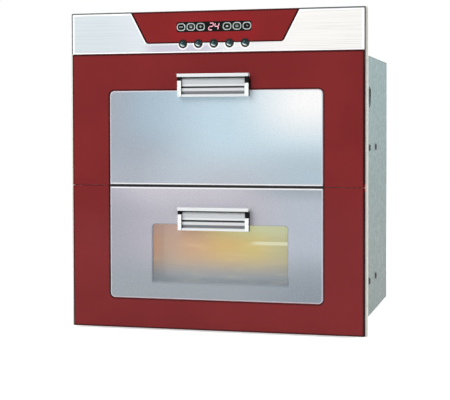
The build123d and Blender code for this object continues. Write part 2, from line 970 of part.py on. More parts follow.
def bent_wire(*points):
    """Sweeps one wire along straight runs with mitred bends, into the part being built."""
    with BuildLine() as path:
        Polyline(*points)
    with BuildSketch(Plane(origin=path.line @ 0, z_dir=path.line % 0)) as section:
        RegularPolygon(wire_radius, 6)
    sweep(section.sketch, path=path.line, transition=Transition.RIGHT)


def spread(count, low, high):
    """Evenly spaced places, one at the middle of each share of the span."""
    return [low + (high - low) * (place + 0.5) / count for place in range(count)]


def basket(bay):
    """Welded wire basket: bar rim, wires both ways, carrier bars and front brackets."""
    rim_top = bay.rim_z
    floor_z = bay.basket_z
    wire_top = rim_top - rim_bar / 2
    with BuildPart() as welded:
        with BuildSketch(Plane.XY.offset(rim_top - rim_bar)):
            with Locations((0, face_y + (basket_front + basket_rear) / 2)):
                RectangleRounded(
                    2 * (leg_x + wire / 2), basket_rear - basket_front, basket_radius
                )
                RectangleRounded(
                    2 * (leg_x + wire / 2 - rim_bar),
                    basket_rear - basket_front - 2 * rim_bar,
                    basket_radius - rim_bar,
                    mode=Mode.SUBTRACT,
                )
        extrude(amount=rim_bar)
        for depth in spread(cross_wires, basket_front + basket_radius, basket_rear - basket_radius):
            y = face_y + depth
            bent_wire(
                (-leg_x, y, wire_top), (-leg_x, y, floor_z), (leg_x, y, floor_z), (leg_x, y, wire_top)
            )
        long_z = floor_z + wire - weld
        front_y, rear_y = face_y + leg_front, face_y + leg_rear
        for x in spread(long_wires, -leg_x + basket_radius, leg_x - basket_radius):
            bent_wire(
                (x, front_y, wire_top), (x, front_y, long_z), (x, rear_y, long_z), (x, rear_y, wire_top)
            )
        with BuildSketch(Plane.XY.offset(bay.rail_z - carrier_height / 2)):
            for side in (-1, 1):
                with Locations(
                    (
                        side * (basket_half - carrier_thickness / 2),
                        face_y + (basket_front + basket_rear) / 2,
                    )
                ):
                    Rectangle(carrier_thickness, basket_rear - basket_front)
        extrude(amount=carrier_height)
        bracket_foot = bay.rail_z - carrier_height / 2
        with BuildSketch(facing(plug_depth)):
            for side in (-1, 1):
                with Locations(
                    (side * (basket_half - bracket_width / 2), (bracket_foot + rim_top) / 2)
                ):
                    Rectangle(bracket_width, rim_top - bracket_foot)
        extrude(amount=-carrier_thickness)
        for side in (-1, 1):
            with BuildSketch(facing(plug_depth)):
                with Locations((side * (basket_half - carrier_thickness / 2), bay.rail_z)):
                    Rectangle(carrier_thickness, carrier_height)
            extrude(amount=-(basket_front - plug_depth + weld))
            with BuildSketch(facing(plug_depth)):
                with Locations((side * (leg_x - basket_radius), rim_top - rim_bar / 2)):
                    Rectangle(carrier_thickness, rim_bar)
            extrude(amount=-(basket_front - plug_depth + weld))
    return welded.part


for bay in bays:
    write_node(basket(bay), f"{bay.name}_basket")

basket_mid_y = face_y + (basket_front + basket_rear) / 2
wires_top = wire + wire / 2 - weld  # top of the floor wires above the basket's floor level

with BuildPart() as cutlery_tray:
    tray_foot = upper.basket_z + wires_top
    tray_x = leg_x - wire / 2 - tray_gap - tray_width / 2
    tray_ends = (basket_mid_y - tray_length / 2, basket_mid_y + tray_length / 2)
    with BuildSketch(Plane.XY.offset(tray_foot)):
        with Locations((tray_x, basket_mid_y)):
            RectangleRounded(tray_width, tray_length, tray_radius)
    extrude(amount=tray_height)
    with BuildSketch(Plane.XY.offset(tray_foot + tray_wall)):
        with Locations((tray_x, basket_mid_y)):
            RectangleRounded(
                tray_width - 2 * tray_wall, tray_length - 2 * tray_wall, tray_radius - tray_wall
            )
    extrude(amount=tray_height, mode=Mode.SUBTRACT)
    with BuildSketch(Plane.XY.offset(tray_foot)):
        for x in spread(tray_slot_columns, tray_x - tray_width / 2, tray_x + tray_width / 2):
            with Locations(*[(x, y) for y in spread(tray_slot_rows, *tray_ends)]):
                Rectangle(tray_slot_length, vent_width)
    extrude(amount=tray_wall, mode=Mode.SUBTRACT)
write_node(cutlery_tray.part, "cutlery_tray")

with BuildPart() as plate_racks:
    rack_z = lower.basket_z + wires_top + wire_radius + rack_seat_gap
    long_z = rack_z + wire - weld
    loop_x = (rack_width + rack_loop_foot) / 4
    rack_ends = (basket_mid_y - rack_length / 2, basket_mid_y + rack_length / 2)
    for x in (-rack_width / 2, -rack_loop_foot / 2, rack_loop_foot / 2, rack_width / 2):
        bent_wire((x, rack_ends[0], long_z), (x, rack_ends[1], long_z))
    for y in spread(rack_loops, *rack_ends):
        for side in (-1, 1):
            bent_wire(
                (side * (rack_loop_foot / 2 - wire), y, rack_z),
                (side * (rack_width / 2 + wire), y, rack_z),
            )
            bent_wire(
                (side * loop_x - rack_loop_top / 2, y, rack_z),
                (side * loop_x - rack_loop_top / 4, y, rack_z + rack_loop_height),
                (side * loop_x + rack_loop_top / 4, y, rack_z + rack_loop_height),
                (side * loop_x + rack_loop_top / 2, y, rack_z),
            )
write_node(plate_racks.part, "plate_racks")

# ---------------------------------------------------------------------------
# Control strip
# ---------------------------------------------------------------------------

glass_foot_z = strip_foot_z + control_glass_margin
button_z = strip_foot_z + button_rise
display_z = front_top_z - display_drop
strip_mid_z = (strip_foot_z + front_top_z) / 2
button_places = [
    ((place - (button_count - 1) / 2) * button_pitch, button_z) for place in range(button_count)
]
carrier_rear = control_glass_thickness + carrier_floor
box_half = control_box_width / 2 - control_box_clearance


def trapezium(grow, overshoot):
    """Outline of the red control glass, grown outwards, open towards the top edge."""
    slope = (control_glass_top - control_glass_foot) / 2 / (front_top_z - glass_foot_z)
    foot_half = control_glass_foot / 2 + grow - slope * grow
    top_half = control_glass_top / 2 + grow + slope * overshoot
    with BuildSketch(facing(0)) as outline:
        with BuildLine():
            Polyline(
                (-foot_half, glass_foot_z - grow),
                (foot_half, glass_foot_z - grow),
                (top_half, front_top_z + overshoot),
                (-top_half, front_top_z + overshoot),
                close=True,
            )
        make_face()
        fillet(outline.vertices().group_by(Axis.Y)[0], radius=control_glass_radius + grow)
    return outline.sketch


with BuildPart() as control_fascia:
    with BuildSketch(facing(0)):
        with Locations((0, strip_mid_z)):
            Rectangle(front_width, strip_height)
    extrude(amount=-fascia_thickness)
    extrude(
        trapezium(control_glass_clearance, rim_overhang), amount=-fascia_thickness, mode=Mode.SUBTRACT
    )
    with BuildSketch(facing(0)):
        with Locations(*button_places):
            Circle(bezel_bore)
    extrude(amount=-fascia_thickness, mode=Mode.SUBTRACT)
write_node(control_fascia.part, "control_fascia")

with BuildPart() as control_glass:
    extrude(trapezium(0.0, 0.0), amount=-control_glass_thickness)
    chamfer(control_glass.faces().sort_by(Axis.Y)[0].edges(), length=glass_arris)
    with BuildSketch(facing(0)):
        with Locations((0, display_z)):
            RectangleRounded(
                display_width + 2 * display_clearance,
                display_height + 2 * display_clearance,
                display_radius + display_clearance,
            )
        with Locations(*button_places):
            Circle(bezel_bore)
    extrude(amount=-control_glass_thickness, mode=Mode.SUBTRACT)
write_node(control_glass.part, "control_glass")

with BuildPart() as display_window:
    with BuildSketch(facing(0)):
        with Locations((0, display_z)):
            RectangleRounded(display_width, display_height, display_radius)
    extrude(amount=-control_glass_thickness)
write_node(display_window.part, "display_window")

board_z = (box_foot_z + box_top_z) / 2
board_boss_places = [
    (side * (board_width / 2 - board_boss_inset), board_z + rise * (board_height / 2 - board_boss_inset))
    for side in (-1, 1)
    for rise in (-1, 1)
]

with BuildPart() as control_carrier:
    with BuildSketch(facing(fascia_thickness)):
        with Locations((0, (strip_foot_z + front_top_z + rim_overhang) / 2)):
            Rectangle(front_width + 2 * rim_overhang, strip_height + rim_overhang)
    extrude(amount=-(flange_front - fascia_thickness))
    with BuildSketch(facing(carrier_rear)):
        with Locations((0, (strip_foot_z + front_top_z + rim_overhang) / 2)):
            Rectangle(
                front_width + 2 * rim_overhang - 2 * carrier_wall,
                strip_height + rim_overhang - 2 * carrier_wall,
            )
    extrude(amount=-(flange_front - carrier_rear), mode=Mode.SUBTRACT)
    with BuildSketch(facing(carrier_rear)):
        with Locations(*board_boss_places):
            Rectangle(board_boss_side, board_boss_side)
    extrude(amount=-(board_depth - carrier_rear))
    extrude(
        trapezium(control_glass_clearance, rim_overhang),
        amount=-control_glass_thickness,
        mode=Mode.SUBTRACT,
    )
    with BuildSketch(facing(0)):
        with Locations(*button_places):
            Circle(bezel_bore)
    extrude(amount=-control_glass_thickness, mode=Mode.SUBTRACT)
    with BuildSketch(facing(0)):
        with Locations(*button_places):
            Rectangle(stem_hole_side, stem_hole_side)
        with Locations((0, display_z)):
            Rectangle(display_width - 2 * display_ledge, display_height - 2 * display_ledge)
    extrude(amount=-carrier_rear, mode=Mode.SUBTRACT)
write_node(control_carrier.part, "control_carrier")

with BuildPart() as button_bezels:
    for x, z in button_places:
        with BuildSketch(Plane(origin=(x, face_y, z), x_dir=(1, 0, 0), z_dir=(0, 0, 1))):
            with BuildLine():
                Polyline(
                    (bezel_bore, -bezel_reach),
                    (bezel_radius - bezel_bevel, -bezel_reach),
                    (bezel_radius, 0),
                    (bezel_bore, 0),
                    close=True,
                )
            make_face()
        revolve(axis=Axis((x, face_y, z), (0, 1, 0)))
write_node(button_bezels.part, "button_bezels")

cap_radius = bezel_bore - cap_clearance
plunger_front = board_depth - switch_height - switch_plunger
stem_end = plunger_front - button_travel - button_end_gap


def button(place):
    """Bevelled push button on a square stem, in the bore of its bezel."""
    with BuildPart() as cap:
        with BuildSketch(facing(cap_depth)):
            with Locations(button_places[place]):
                Circle(cap_radius)
        extrude(amount=cap_depth + cap_reach)
        chamfer(cap.edges().group_by(Axis.Y)[0], length=cap_bevel)
        with BuildSketch(facing(cap_depth)):
            with Locations(button_places[place]):
                Rectangle(stem_side, stem_side)
        extrude(amount=-(stem_end - cap_depth))
    return cap.part


for place in range(button_count):
    write_node(button(place), f"button_{place + 1}")

with BuildPart() as control_board:
    with BuildSketch(facing(board_depth)):
        with Locations((0, board_z)):
            Rectangle(board_width, board_height)
    extrude(amount=-board_thickness)
    with BuildSketch(facing(control_glass_thickness + display_clearance)):
        with Locations((0, display_z)):
            Rectangle(
                display_width - 2 * display_ledge - 2 * display_clearance,
                display_height - 2 * display_ledge - 2 * display_clearance,
            )
    extrude(amount=-(board_depth - control_glass_thickness - display_clearance))
    with BuildSketch(facing(board_depth)):
        with Locations(*button_places):
            Rectangle(switch_side, switch_side)
    extrude(amount=switch_height)
    with BuildSketch(facing(board_depth - switch_height)):
        with Locations(*button_places):
            Rectangle(switch_plunger_side, switch_plunger_side)
    extrude(amount=switch_plunger)
write_node(control_board.part, "control_board")

box_low = box_foot_z + control_box_clearance
box_high = box_top_z - control_box_clearance

with BuildPart() as control_box:
    with BuildSketch(facing(flange_front)):
        with Locations((0, (box_low + box_high) / 2)):
            Rectangle(2 * box_half, box_high - box_low)
    extrude(amount=-(control_box_rear - flange_front))
    with BuildSketch(facing(flange_front - sheet)):
        with Locations((0, (box_low + box_high) / 2)):
            Rectangle(2 * (box_half + control_box_lip), box_high - box_low)
    extrude(amount=-sheet)
    with BuildSketch(facing(flange_front - sheet)):
        with Locations((0, (box_low + box_high) / 2)):
            Rectangle(2 * (box_half - sheet), box_high - box_low - 2 * sheet)
    extrude(amount=-(control_box_rear - flange_front), mode=Mode.SUBTRACT)
write_node(control_box.part, "control_box")

with BuildPart() as power_board:
    floor_z = box_low + sheet
    board_x = -box_half / 2
    board_y = face_y + (board_depth + control_box_rear) / 2 + board_thickness
    parts_z = floor_z + power_post_height + board_thickness
    with BuildSketch(Plane.XY.offset(floor_z)):
        with Locations((board_x, board_y)):
            with GridLocations(
                power_board_width - 2 * power_post_inset,
                power_board_length - 2 * power_post_inset,
                2,
                2,
            ):
                Rectangle(power_post_side, power_post_side)
    extrude(amount=power_post_height)
    with BuildSketch(Plane.XY.offset(floor_z + power_post_height)):
        with Locations((board_x, board_y)):
            Rectangle(power_board_width, power_board_length)
    extrude(amount=board_thickness)
    with BuildSketch(Plane.XY.offset(parts_z)):
        with Locations((board_x - transformer_offset, board_y)):
            Rectangle(transformer_width, transformer_length)
    extrude(amount=transformer_height)
    with BuildSketch(Plane.XY.offset(parts_z)):
        with Locations((board_x + relay_offset, board_y)):
            with GridLocations(relay_pitch_x, relay_pitch_y, 3, 2):
                Rectangle(relay_width, relay_length)
    extrude(amount=relay_height)
write_node(power_board.part, "power_board")

# ---------------------------------------------------------------------------
# Lamp, heaters and their ceramic holders
# ---------------------------------------------------------------------------

uv_y = face_y + liner_depth - uv_offset
uv_z = upper.mouth_top - uv_drop
uv_half = uv_length / 2

with BuildPart() as uv_lamp:
    cap_outer = uv_radius + uv_cap_wall
    with BuildSketch(Plane.XZ.offset(-uv_y)):
        with BuildLine():
            Polyline(
                (-uv_half, uv_z),
                (-uv_half, uv_z + cap_outer),
                (uv_cap_length - uv_half, uv_z + cap_outer),
                (uv_cap_length - uv_half, uv_z + uv_radius),
                (uv_half - uv_cap_length, uv_z + uv_radius),
                (uv_half - uv_cap_length, uv_z + cap_outer),
                (uv_half, uv_z + cap_outer),
                (uv_half, uv_z),
                close=True,
            )
        make_face()
    revolve(axis=Axis((0, uv_y, uv_z), (1, 0, 0)))
write_node(uv_lamp.part, "uv_lamp")

heater_z = lower.mouth_foot + heater_rise
heater_ys = [face_y + heater_first + step * heater_pitch for step in range(2)]
heater_half = heater_length / 2

with BuildPart() as quartz_heaters:
    with BuildSketch(Plane.YZ.offset(-heater_half)):
        with Locations(*[(y, heater_z) for y in heater_ys]):
            Circle(heater_radius)
    extrude(amount=heater_length)
write_node(quartz_heaters.part, "quartz_heaters")

with BuildPart() as lamp_holders:
    hole = uv_radius + uv_cap_wall + holder_clearance
    block = 2 * (hole + holder_wall)
    for end in (-1, 1):
        with BuildSketch(Plane.YZ.offset(end * (uv_half - holder_width / 2))):
            with Locations((uv_y, uv_z)):
                Rectangle(block, block)
            with Locations(((uv_y + face_y + liner_depth) / 2, uv_z)):
                Rectangle(uv_offset, block)
            with Locations((uv_y, uv_z)):
                Circle(hole, mode=Mode.SUBTRACT)
        extrude(amount=holder_width / 2, both=True)
    heater_hole = heater_radius + holder_clearance
    top = heater_z + heater_hole + heater_holder_wall
    for end in (-1, 1):
        with BuildSketch(Plane.YZ.offset(end * (heater_half - heater_holder_width / 2))):
            with Locations(*[(y, (lower.mouth_foot + top) / 2) for y in heater_ys]):
                Rectangle(2 * (heater_hole + heater_holder_wall), top - lower.mouth_foot)
            with Locations(*[(y, heater_z) for y in heater_ys]):
                Circle(heater_hole, mode=Mode.SUBTRACT)
        extrude(amount=heater_holder_width / 2, both=True)
write_node(lamp_holders.part, "lamp_holders")

with BuildPart() as heater_guard:
    guard_z = top + guard_gap + wire / 2
    guard_half = heater_half + guard_margin
    front_y = heater_ys[0] - 2 * guard_margin - heater_hole
    rear_y = heater_ys[1] + 2 * guard_margin + heater_hole
    foot_z = lower.mouth_foot
    for y in (front_y, (front_y + rear_y) / 2, rear_y):
        bent_wire(
            (-guard_half, y, foot_z),
            (-guard_half, y, guard_z),
            (guard_half, y, guard_z),
            (guard_half, y, foot_z),
        )
    for x in spread(guard_bars, -guard_half, guard_half):
        bent_wire((x, front_y - wire, guard_z), (x, rear_y + wire, guard_z))
write_node(heater_guard.part, "heater_guard")

# ---------------------------------------------------------------------------
# Fan, ozone generator, door sensors
# ---------------------------------------------------------------------------

fan_front = liner_depth + liner_wall
fan_rear = fan_front + fan_length

with BuildPart() as fan_housing:
    with BuildSketch(facing(fan_front)):
        with Locations((fan_centre_x, fan_z)):
            RectangleRounded(fan_size, fan_size, 4 * sheet)
            Circle(fan_bore_radius, mode=Mode.SUBTRACT)
    extrude(amount=-fan_length)
    with BuildSketch(facing(fan_rear - fan_web)):
        with Locations((fan_centre_x, fan_z)):
            Circle(fan_hub_radius)
            Rectangle(fan_size - 4 * sheet, 2 * fan_web)
            Rectangle(2 * fan_web, fan_size - 4 * sheet)
            Circle(fan_shaft_radius + fan_shaft_clearance, mode=Mode.SUBTRACT)
    extrude(amount=-fan_web)
write_node(fan_housing.part, "fan_housing")

with BuildPart() as fan_rotor:
    hub_front = fan_front + fan_end_gap
    hub_rear = fan_rear - fan_web - fan_end_gap
    tip = fan_bore_radius - fan_tip_clearance
    with BuildSketch(facing(hub_front)):
        with Locations((fan_centre_x, fan_z)):
            Circle(fan_hub_radius)
    extrude(amount=-(hub_rear - hub_front))
    blade_mid_y = face_y + (hub_front + hub_rear) / 2
    chord = (hub_rear - hub_front - 2 * sheet) / cos(radians(fan_pitch))
    for blade in range(fan_blades):
        turn = 360 * blade / fan_blades
        outwards = Vector(cos(radians(turn)), 0, sin(radians(turn)))
        across = Vector(-sin(radians(turn)), 0, cos(radians(turn)))
        lean = across * sin(radians(fan_pitch)) + Vector(0, 1, 0) * cos(radians(fan_pitch))
        root = Vector(fan_centre_x, blade_mid_y, fan_z) + outwards * (fan_hub_radius - sheet)
        with BuildSketch(Plane(origin=root, x_dir=lean, z_dir=outwards)):
            Rectangle(chord, fan_blade)
        extrude(amount=tip - fan_hub_radius - sheet)
    with BuildSketch(facing(hub_rear)):
        with Locations((fan_centre_x, fan_z)):
            Circle(fan_shaft_radius)
    extrude(amount=-(fan_web + fan_end_gap))
write_node(fan_rotor.part, "fan_rotor")

with BuildPart() as ozone_generator:
    with BuildSketch(facing(fan_front)):
        with Locations((ozone_offset, fan_z)):
            Rectangle(ozone_width, ozone_height)
    extrude(amount=-ozone_length)
    chamfer(ozone_generator.faces().sort_by(Axis.Y)[-1].edges(), length=sheet)
write_node(ozone_generator.part, "ozone_generator")

with BuildPart() as door_sensors:
    sensor_x = mouth_half + liner_wall + plug_wall + sensor_width / 2
    with BuildSketch(facing(frame_rear + sheet)):
        with Locations(*[(sensor_x, bay.rail_z + sensor_rise) for bay in bays]):
            Rectangle(sensor_width, sensor_height)
    extrude(amount=-sensor_length)
write_node(door_sensors.part, "door_sensors")

# ---------------------------------------------------------------------------
# Feet and cord gland
# ---------------------------------------------------------------------------

foot_x = body_half - foot_inset_x
foot_ys = (face_y + frame_rear + foot_inset_front, face_y + panel_rear - foot_inset_rear)

with BuildPart() as feet:
    with BuildSketch():
        with Locations(*[(x, y) for x in (-foot_x, foot_x) for y in foot_ys]):
            Circle(foot_radius)
    extrude(amount=body_lift)
    chamfer(feet.edges().group_by(Axis.Z)[0], length=foot_chamfer)
write_node(feet.part, "feet")

with BuildPart() as cord_gland:
    with BuildSketch(facing(panel_rear - gland_nut)):
        with Locations((gland_x, gland_z)):
            RegularPolygon(gland_nut_radius, 6)
    extrude(amount=-gland_nut)
    with BuildSketch(facing(panel_rear)):
        with Locations((gland_x, gland_z)):
            Circle(gland_radius)
    extrude(amount=-sheet)
    with BuildSketch(facing(overall_depth)):
        with Locations((gland_x, gland_z)):
            RegularPolygon(gland_nut_radius, 6)
    extrude(amount=-gland_nut)
    with BuildSketch(facing(overall_depth + gland_nut)):
        with Locations((gland_x, gland_z)):
            Circle(gland_nose_radius)
    extrude(amount=-(gland_reach - gland_nut))
    with BuildSketch(facing(panel_rear - gland_nut)):
        with Locations((gland_x, gland_z)):
            Circle(gland_bore)
    extrude(amount=-(gland_nut + sheet + gland_reach), mode=Mode.SUBTRACT)
write_node(cord_gland.part, "cord_gland")
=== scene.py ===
"""Looks of a built-in dish sterilizer cabinet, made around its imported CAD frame.

Places are worked out from the frame's own boxes and a few named sizes. The script adds the
finishes, the lit marks of the display, the domed push buttons, the round welded wires, small
fasteners and the studio.
"""

import logging
import math
from dataclasses import dataclass
from enum import Enum
from functools import cache
from typing import Any

import bmesh
import bpy
from bmesh.types import BMEdge, BMesh, BMFace, BMVert
from bpy.types import Material, Node, NodeSocket, NodeTree, Object
from mathutils import Matrix, Vector


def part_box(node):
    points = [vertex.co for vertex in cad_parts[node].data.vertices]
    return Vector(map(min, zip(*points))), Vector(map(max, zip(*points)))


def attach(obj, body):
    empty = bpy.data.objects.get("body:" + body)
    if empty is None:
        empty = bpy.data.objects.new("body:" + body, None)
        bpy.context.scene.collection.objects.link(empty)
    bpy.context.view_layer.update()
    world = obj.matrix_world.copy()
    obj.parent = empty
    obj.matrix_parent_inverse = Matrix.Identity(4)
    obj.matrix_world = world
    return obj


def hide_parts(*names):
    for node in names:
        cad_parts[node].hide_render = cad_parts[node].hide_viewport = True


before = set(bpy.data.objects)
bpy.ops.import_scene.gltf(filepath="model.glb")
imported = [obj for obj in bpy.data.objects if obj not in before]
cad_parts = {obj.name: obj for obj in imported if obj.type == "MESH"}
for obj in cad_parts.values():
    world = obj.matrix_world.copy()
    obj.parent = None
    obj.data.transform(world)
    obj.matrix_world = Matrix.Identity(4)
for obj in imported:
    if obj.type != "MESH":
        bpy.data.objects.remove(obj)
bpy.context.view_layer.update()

MM = 0.001
# numbers of the colour sockets of a Mix node
MIX_A, MIX_B, MIX_OUT = 6, 7, 2
# faces round a wire, and faces along each of its bends
WIRE_SIDES, BEND_STEPS = 8, 3
# edges that turn by more than this stay sharp, in degrees
SHARP_ANGLE = 46

# X and Z of the middle, half the width, half the height and the radius of the corners
Outline = tuple[float, float, float, float, float]

log = logging.getLogger("sterilizer")


# ---------------------------------------------------------------------------
# Shader helpers
# ---------------------------------------------------------------------------


def srgb(code: str) -> tuple[float, float, float, float]:
    """Turns an sRGB hex value into the linear colour that a shader takes.

    Args:
        code: six hex digits.

    Returns:
        Linear red, green and blue, with an alpha of 1.
    """
    shares = [int(code[place : place + 2], 16) / 255 for place in (0, 2, 4)]
    linear = [v / 12.92 if v <= 0.04045 else ((v + 0.055) / 1.055) ** 2.4 for v in shares]
    return (*linear, 1.0)


def add_node(tree: NodeTree, kind: str, values: dict[Any, Any]) -> Node:
    """Adds a shader node with its settings and its links.

    Args:
        tree: node tree that takes the node.
        kind: type of the node, without "ShaderNode" in front.
        values: by input name, input number or property name. An output socket is linked to that
            input, and anything else is set.

    Returns:
        The new node.
    """
    node = tree.nodes.new(f"ShaderNode{kind}")
    for key, value in values.items():
        if isinstance(value, NodeSocket):
            tree.links.new(value, node.inputs[key])
        elif isinstance(key, int) or key in node.inputs:
            node.inputs[key].default_value = value
        else:
            setattr(node, key, value)
    return node


@dataclass(frozen=True)
class Layer:
    """A colour that lies over what is under it, as thick as the product of its runs.

    Each run is a measure, the value where the layer starts and the value where it is full.
    """

    colour: str
    runs: tuple[tuple[NodeSocket, float, float], ...]
    share: float = 1.0


def painted(tree: NodeTree, base: str, *layers: Layer) -> NodeSocket:
    """Lays colours over one another, each with soft borders.

    Args:
        tree: node tree of the material.
        base: the colour under all others.
        layers: the colours over it, lowest first.

    Returns:
        The socket of the colour that shows.
    """
    colour: Any = srgb(base)
    for layer in layers:
        share: Any = layer.share
        for measure, start, full in layer.runs:
            values = {"interpolation_type": "SMOOTHSTEP", "Value": measure}
            values |= {"From Min": start, "From Max": full}
            eased = add_node(tree, "MapRange", values).outputs["Result"]
            share = add_node(tree, "Math", {"operation": "MULTIPLY", 0: eased, 1: share}).outputs[0]
        values = {"data_type": "RGBA", "Factor": share, MIX_A: colour, MIX_B: srgb(layer.colour)}
        colour = add_node(tree, "Mix", values).outputs[MIX_OUT]
    return colour


def axes(tree: NodeTree, output: str = "Object") -> Any:
    """Returns the X, Y and Z sockets of a texture coordinate."""
    return add_node(tree, "SeparateXYZ", {0: add_node(tree, "TexCoord", {}).outputs[output]}).outputs


def away(tree: NodeTree, measure: NodeSocket, place: float = 0.0) -> NodeSocket:
    """Returns how far a measure is from a place, to either side."""
    offset = add_node(tree, "Math", {"operation": "SUBTRACT", 0: measure, 1: place}).outputs[0]
    return add_node(tree, "Math", {"operation": "ABSOLUTE", 0: offset}).outputs[0]


def grain(
    tree: NodeTree,
    size: float,
    stretch: tuple[float, float, float] = (1.0, 1.0, 1.0),
    detail: float = 2.0,
) -> NodeSocket:
    """Adds an uneven pattern of a real size that stays on the object.

    Args:
        tree: node tree of the material.
        size: width of one grain in metres.
        stretch: how many times longer a grain is along each axis.
        detail: how many finer patterns lie on the first.

    Returns:
        The socket of the pattern, about 0.3 to 0.7.
    """
    place = add_node(tree, "TexCoord", {}).outputs["Object"]
    scale = tuple(1 / (size * longer) for longer in stretch)
    spot = add_node(tree, "Mapping", {"Vector": place, "Scale": scale}).outputs[0]
    return add_node(tree, "TexNoise", {"Vector": spot, "Scale": 1.0, "Detail": detail}).outputs[0]


def textured(tree: NodeTree, shader: Node, pattern: NodeSocket, depth: float, swing: float) -> None:
    """Lets a pattern raise a surface and change its gloss.

    Args:
        tree: node tree of the material.
        shader: the surface's shader.
        pattern: 0 to 1 over the surface.
        depth: height of the pattern in metres, 0 for none.
        swing: how far the roughness goes up and down.
    """
    middle = shader.inputs["Roughness"].default_value
    values = {"Value": pattern, "To Min": middle - swing, "To Max": middle + swing}
    tree.links.new(add_node(tree, "MapRange", values).outputs["Result"], shader.inputs["Roughness"])
    if depth:
        bump = add_node(tree, "Bump", {"Height": pattern, "Distance": depth})
        tree.links.new(bump.outputs["Normal"], shader.inputs["Normal"])


def outline_distance(
    tree: NodeTree, x: float, z: float, half_x: float, half_z: float, radius: float
) -> NodeSocket:
    """Distance from the outline of an upright rectangle with rounded corners, in metres.

    Args:
        tree: node tree of the material.
        x: X of the rectangle's middle.
        z: Z of its middle.
        half_x: half its width.
        half_z: half its height.
        radius: radius of its corners.

    Returns:
        The socket of the distance, below 0 inside the rectangle.
    """
    xyz = axes(tree)
    past, outside = [], []
    for axis, centre, reach in (("X", x, half_x), ("Z", z, half_z)):
        values = {"operation": "SUBTRACT", 0: away(tree, xyz[axis], centre), 1: reach - radius}
        past.append(add_node(tree, "Math", values).outputs[0])
        values = {"operation": "MAXIMUM", 0: past[-1], 1: 0.0}
        outside.append(add_node(tree, "Math", values).outputs[0])
    corner = add_node(tree, "CombineXYZ", {"X": outside[0], "Z": outside[1]})
    length = add_node(tree, "VectorMath", {"operation": "LENGTH", 0: corner.outputs[0]}).outputs["Value"]
    nearest = add_node(tree, "Math", {"operation": "MAXIMUM", 0: past[0], 1: past[1]})
    inside = add_node(tree, "Math", {"operation": "MINIMUM", 0: nearest.outputs[0], 1: 0.0})
    total = add_node(tree, "Math", {"operation": "ADD", 0: length, 1: inside.outputs[0]})
    return add_node(tree, "Math", {"operation": "SUBTRACT", 0: total.outputs[0], 1: radius}).outputs[0]


def past_slope(tree: NodeTree, half: float, foot: float, slope: float) -> NodeSocket:
    """Distance along X past the sloping sides of the control glass, in metres.

    Args:
        tree: node tree of the material.
        half: half the width of the glass at its foot.
        foot: height of its foot.
        slope: how far a side goes out for each metre up.

    Returns:
        The socket of the distance, below 0 on the glass.
    """
    xyz = axes(tree)
    values = {"operation": "MULTIPLY_ADD", 0: xyz["Z"], 1: -slope, 2: slope * foot - half}
    slant = add_node(tree, "Math", values).outputs[0]
    return add_node(tree, "Math", {"operation": "ADD", 0: away(tree, xyz["X"]), 1: slant}).outputs[0]


# ---------------------------------------------------------------------------
# Finishes
# ---------------------------------------------------------------------------


@dataclass(frozen=True)
class Finish:
    """A surface with one colour, and what every other finish starts from."""

    name: str
    colour: str
    roughness: float = 0.5
    metallic: float = 0.0
    ior: float = 1.5
    specular: float = 0.5
    glow: float = 0.0
    clear: float = 0.0

    def material(self) -> Material:
        """Builds the material.

        Returns:
            The material, with its pattern on it.
        """
        material = bpy.data.materials.new(self.name)
        material.use_nodes = True
        tree = material.node_tree
        tree.nodes.clear()
        values = {
            "Base Color": srgb(self.colour),
            "Roughness": self.roughness,
            "Metallic": self.metallic,
            "Specular IOR Level": self.specular,
            "Emission Strength": self.glow,
            "Transmission Weight": self.clear,
        }
        shader = add_node(tree, "BsdfPrincipled", values)
        if not self.metallic:
            shader.inputs["IOR"].default_value = self.ior
        self.dress(tree, shader)
        add_node(tree, "OutputMaterial", {"Surface": shader.outputs[0]})
        return material

    def tint(self, tree: NodeTree, shader: Node, *layers: Layer) -> None:
        """Paints the surface, and its glow where it has one.

        Args:
            tree: node tree of the material.
            shader: the surface's shader.
            layers: the colours over the finish's own, lowest first.
        """
        colour = painted(tree, self.colour, *layers)
        tree.links.new(colour, shader.inputs["Base Color"])
        if self.glow:
            tree.links.new(colour, shader.inputs["Emission Color"])

    def dress(self, tree: NodeTree, shader: Node) -> None:
        """Adds the finish's own pattern to its shader."""


@dataclass(frozen=True)
class Grained(Finish):
    """A surface with one uneven pattern, which may tint it, raise it and change its gloss."""

    # width of a grain, how many times longer it is along each axis, and how many finer ones lie on it
    size: float = 1 * MM
    stretch: tuple[float, float, float] = (1.0, 1.0, 1.0)
    detail: float = 2.0
    # colour of the pattern, where it starts and where it is full, and how strong it is
    second: str = ""
    run: tuple[float, float] = (0.5, 0.3)
    share: float = 0.3
    # height of the pattern, and how far it swings the roughness
    depth: float = 0.0
    swing: float = 0.0

    def layers(self, tree: NodeTree, second: list[Layer]) -> list[Layer]:
        """Returns all colours over the finish's own, lowest first, the pattern's among them."""
        return second

    def dress(self, tree: NodeTree, shader: Node) -> None:
        """Adds the pattern and the other colours."""
        pattern = grain(tree, self.size, self.stretch, self.detail)
        second = [Layer(self.second, ((pattern, *self.run),), self.share)] if self.second else []
        layers = self.layers(tree, second)
        if layers:
            self.tint(tree, shader, *layers)
        if self.swing:
            textured(tree, shader, pattern, self.depth, self.swing)


@dataclass(frozen=True)
class MouldedPlastic(Grained):
    """ABS from a spark-eroded mould: a fine even grain that breaks up the highlight."""

    size: float = 0.9 * MM
    depth: float = 0.02 * MM
    swing: float = 0.06


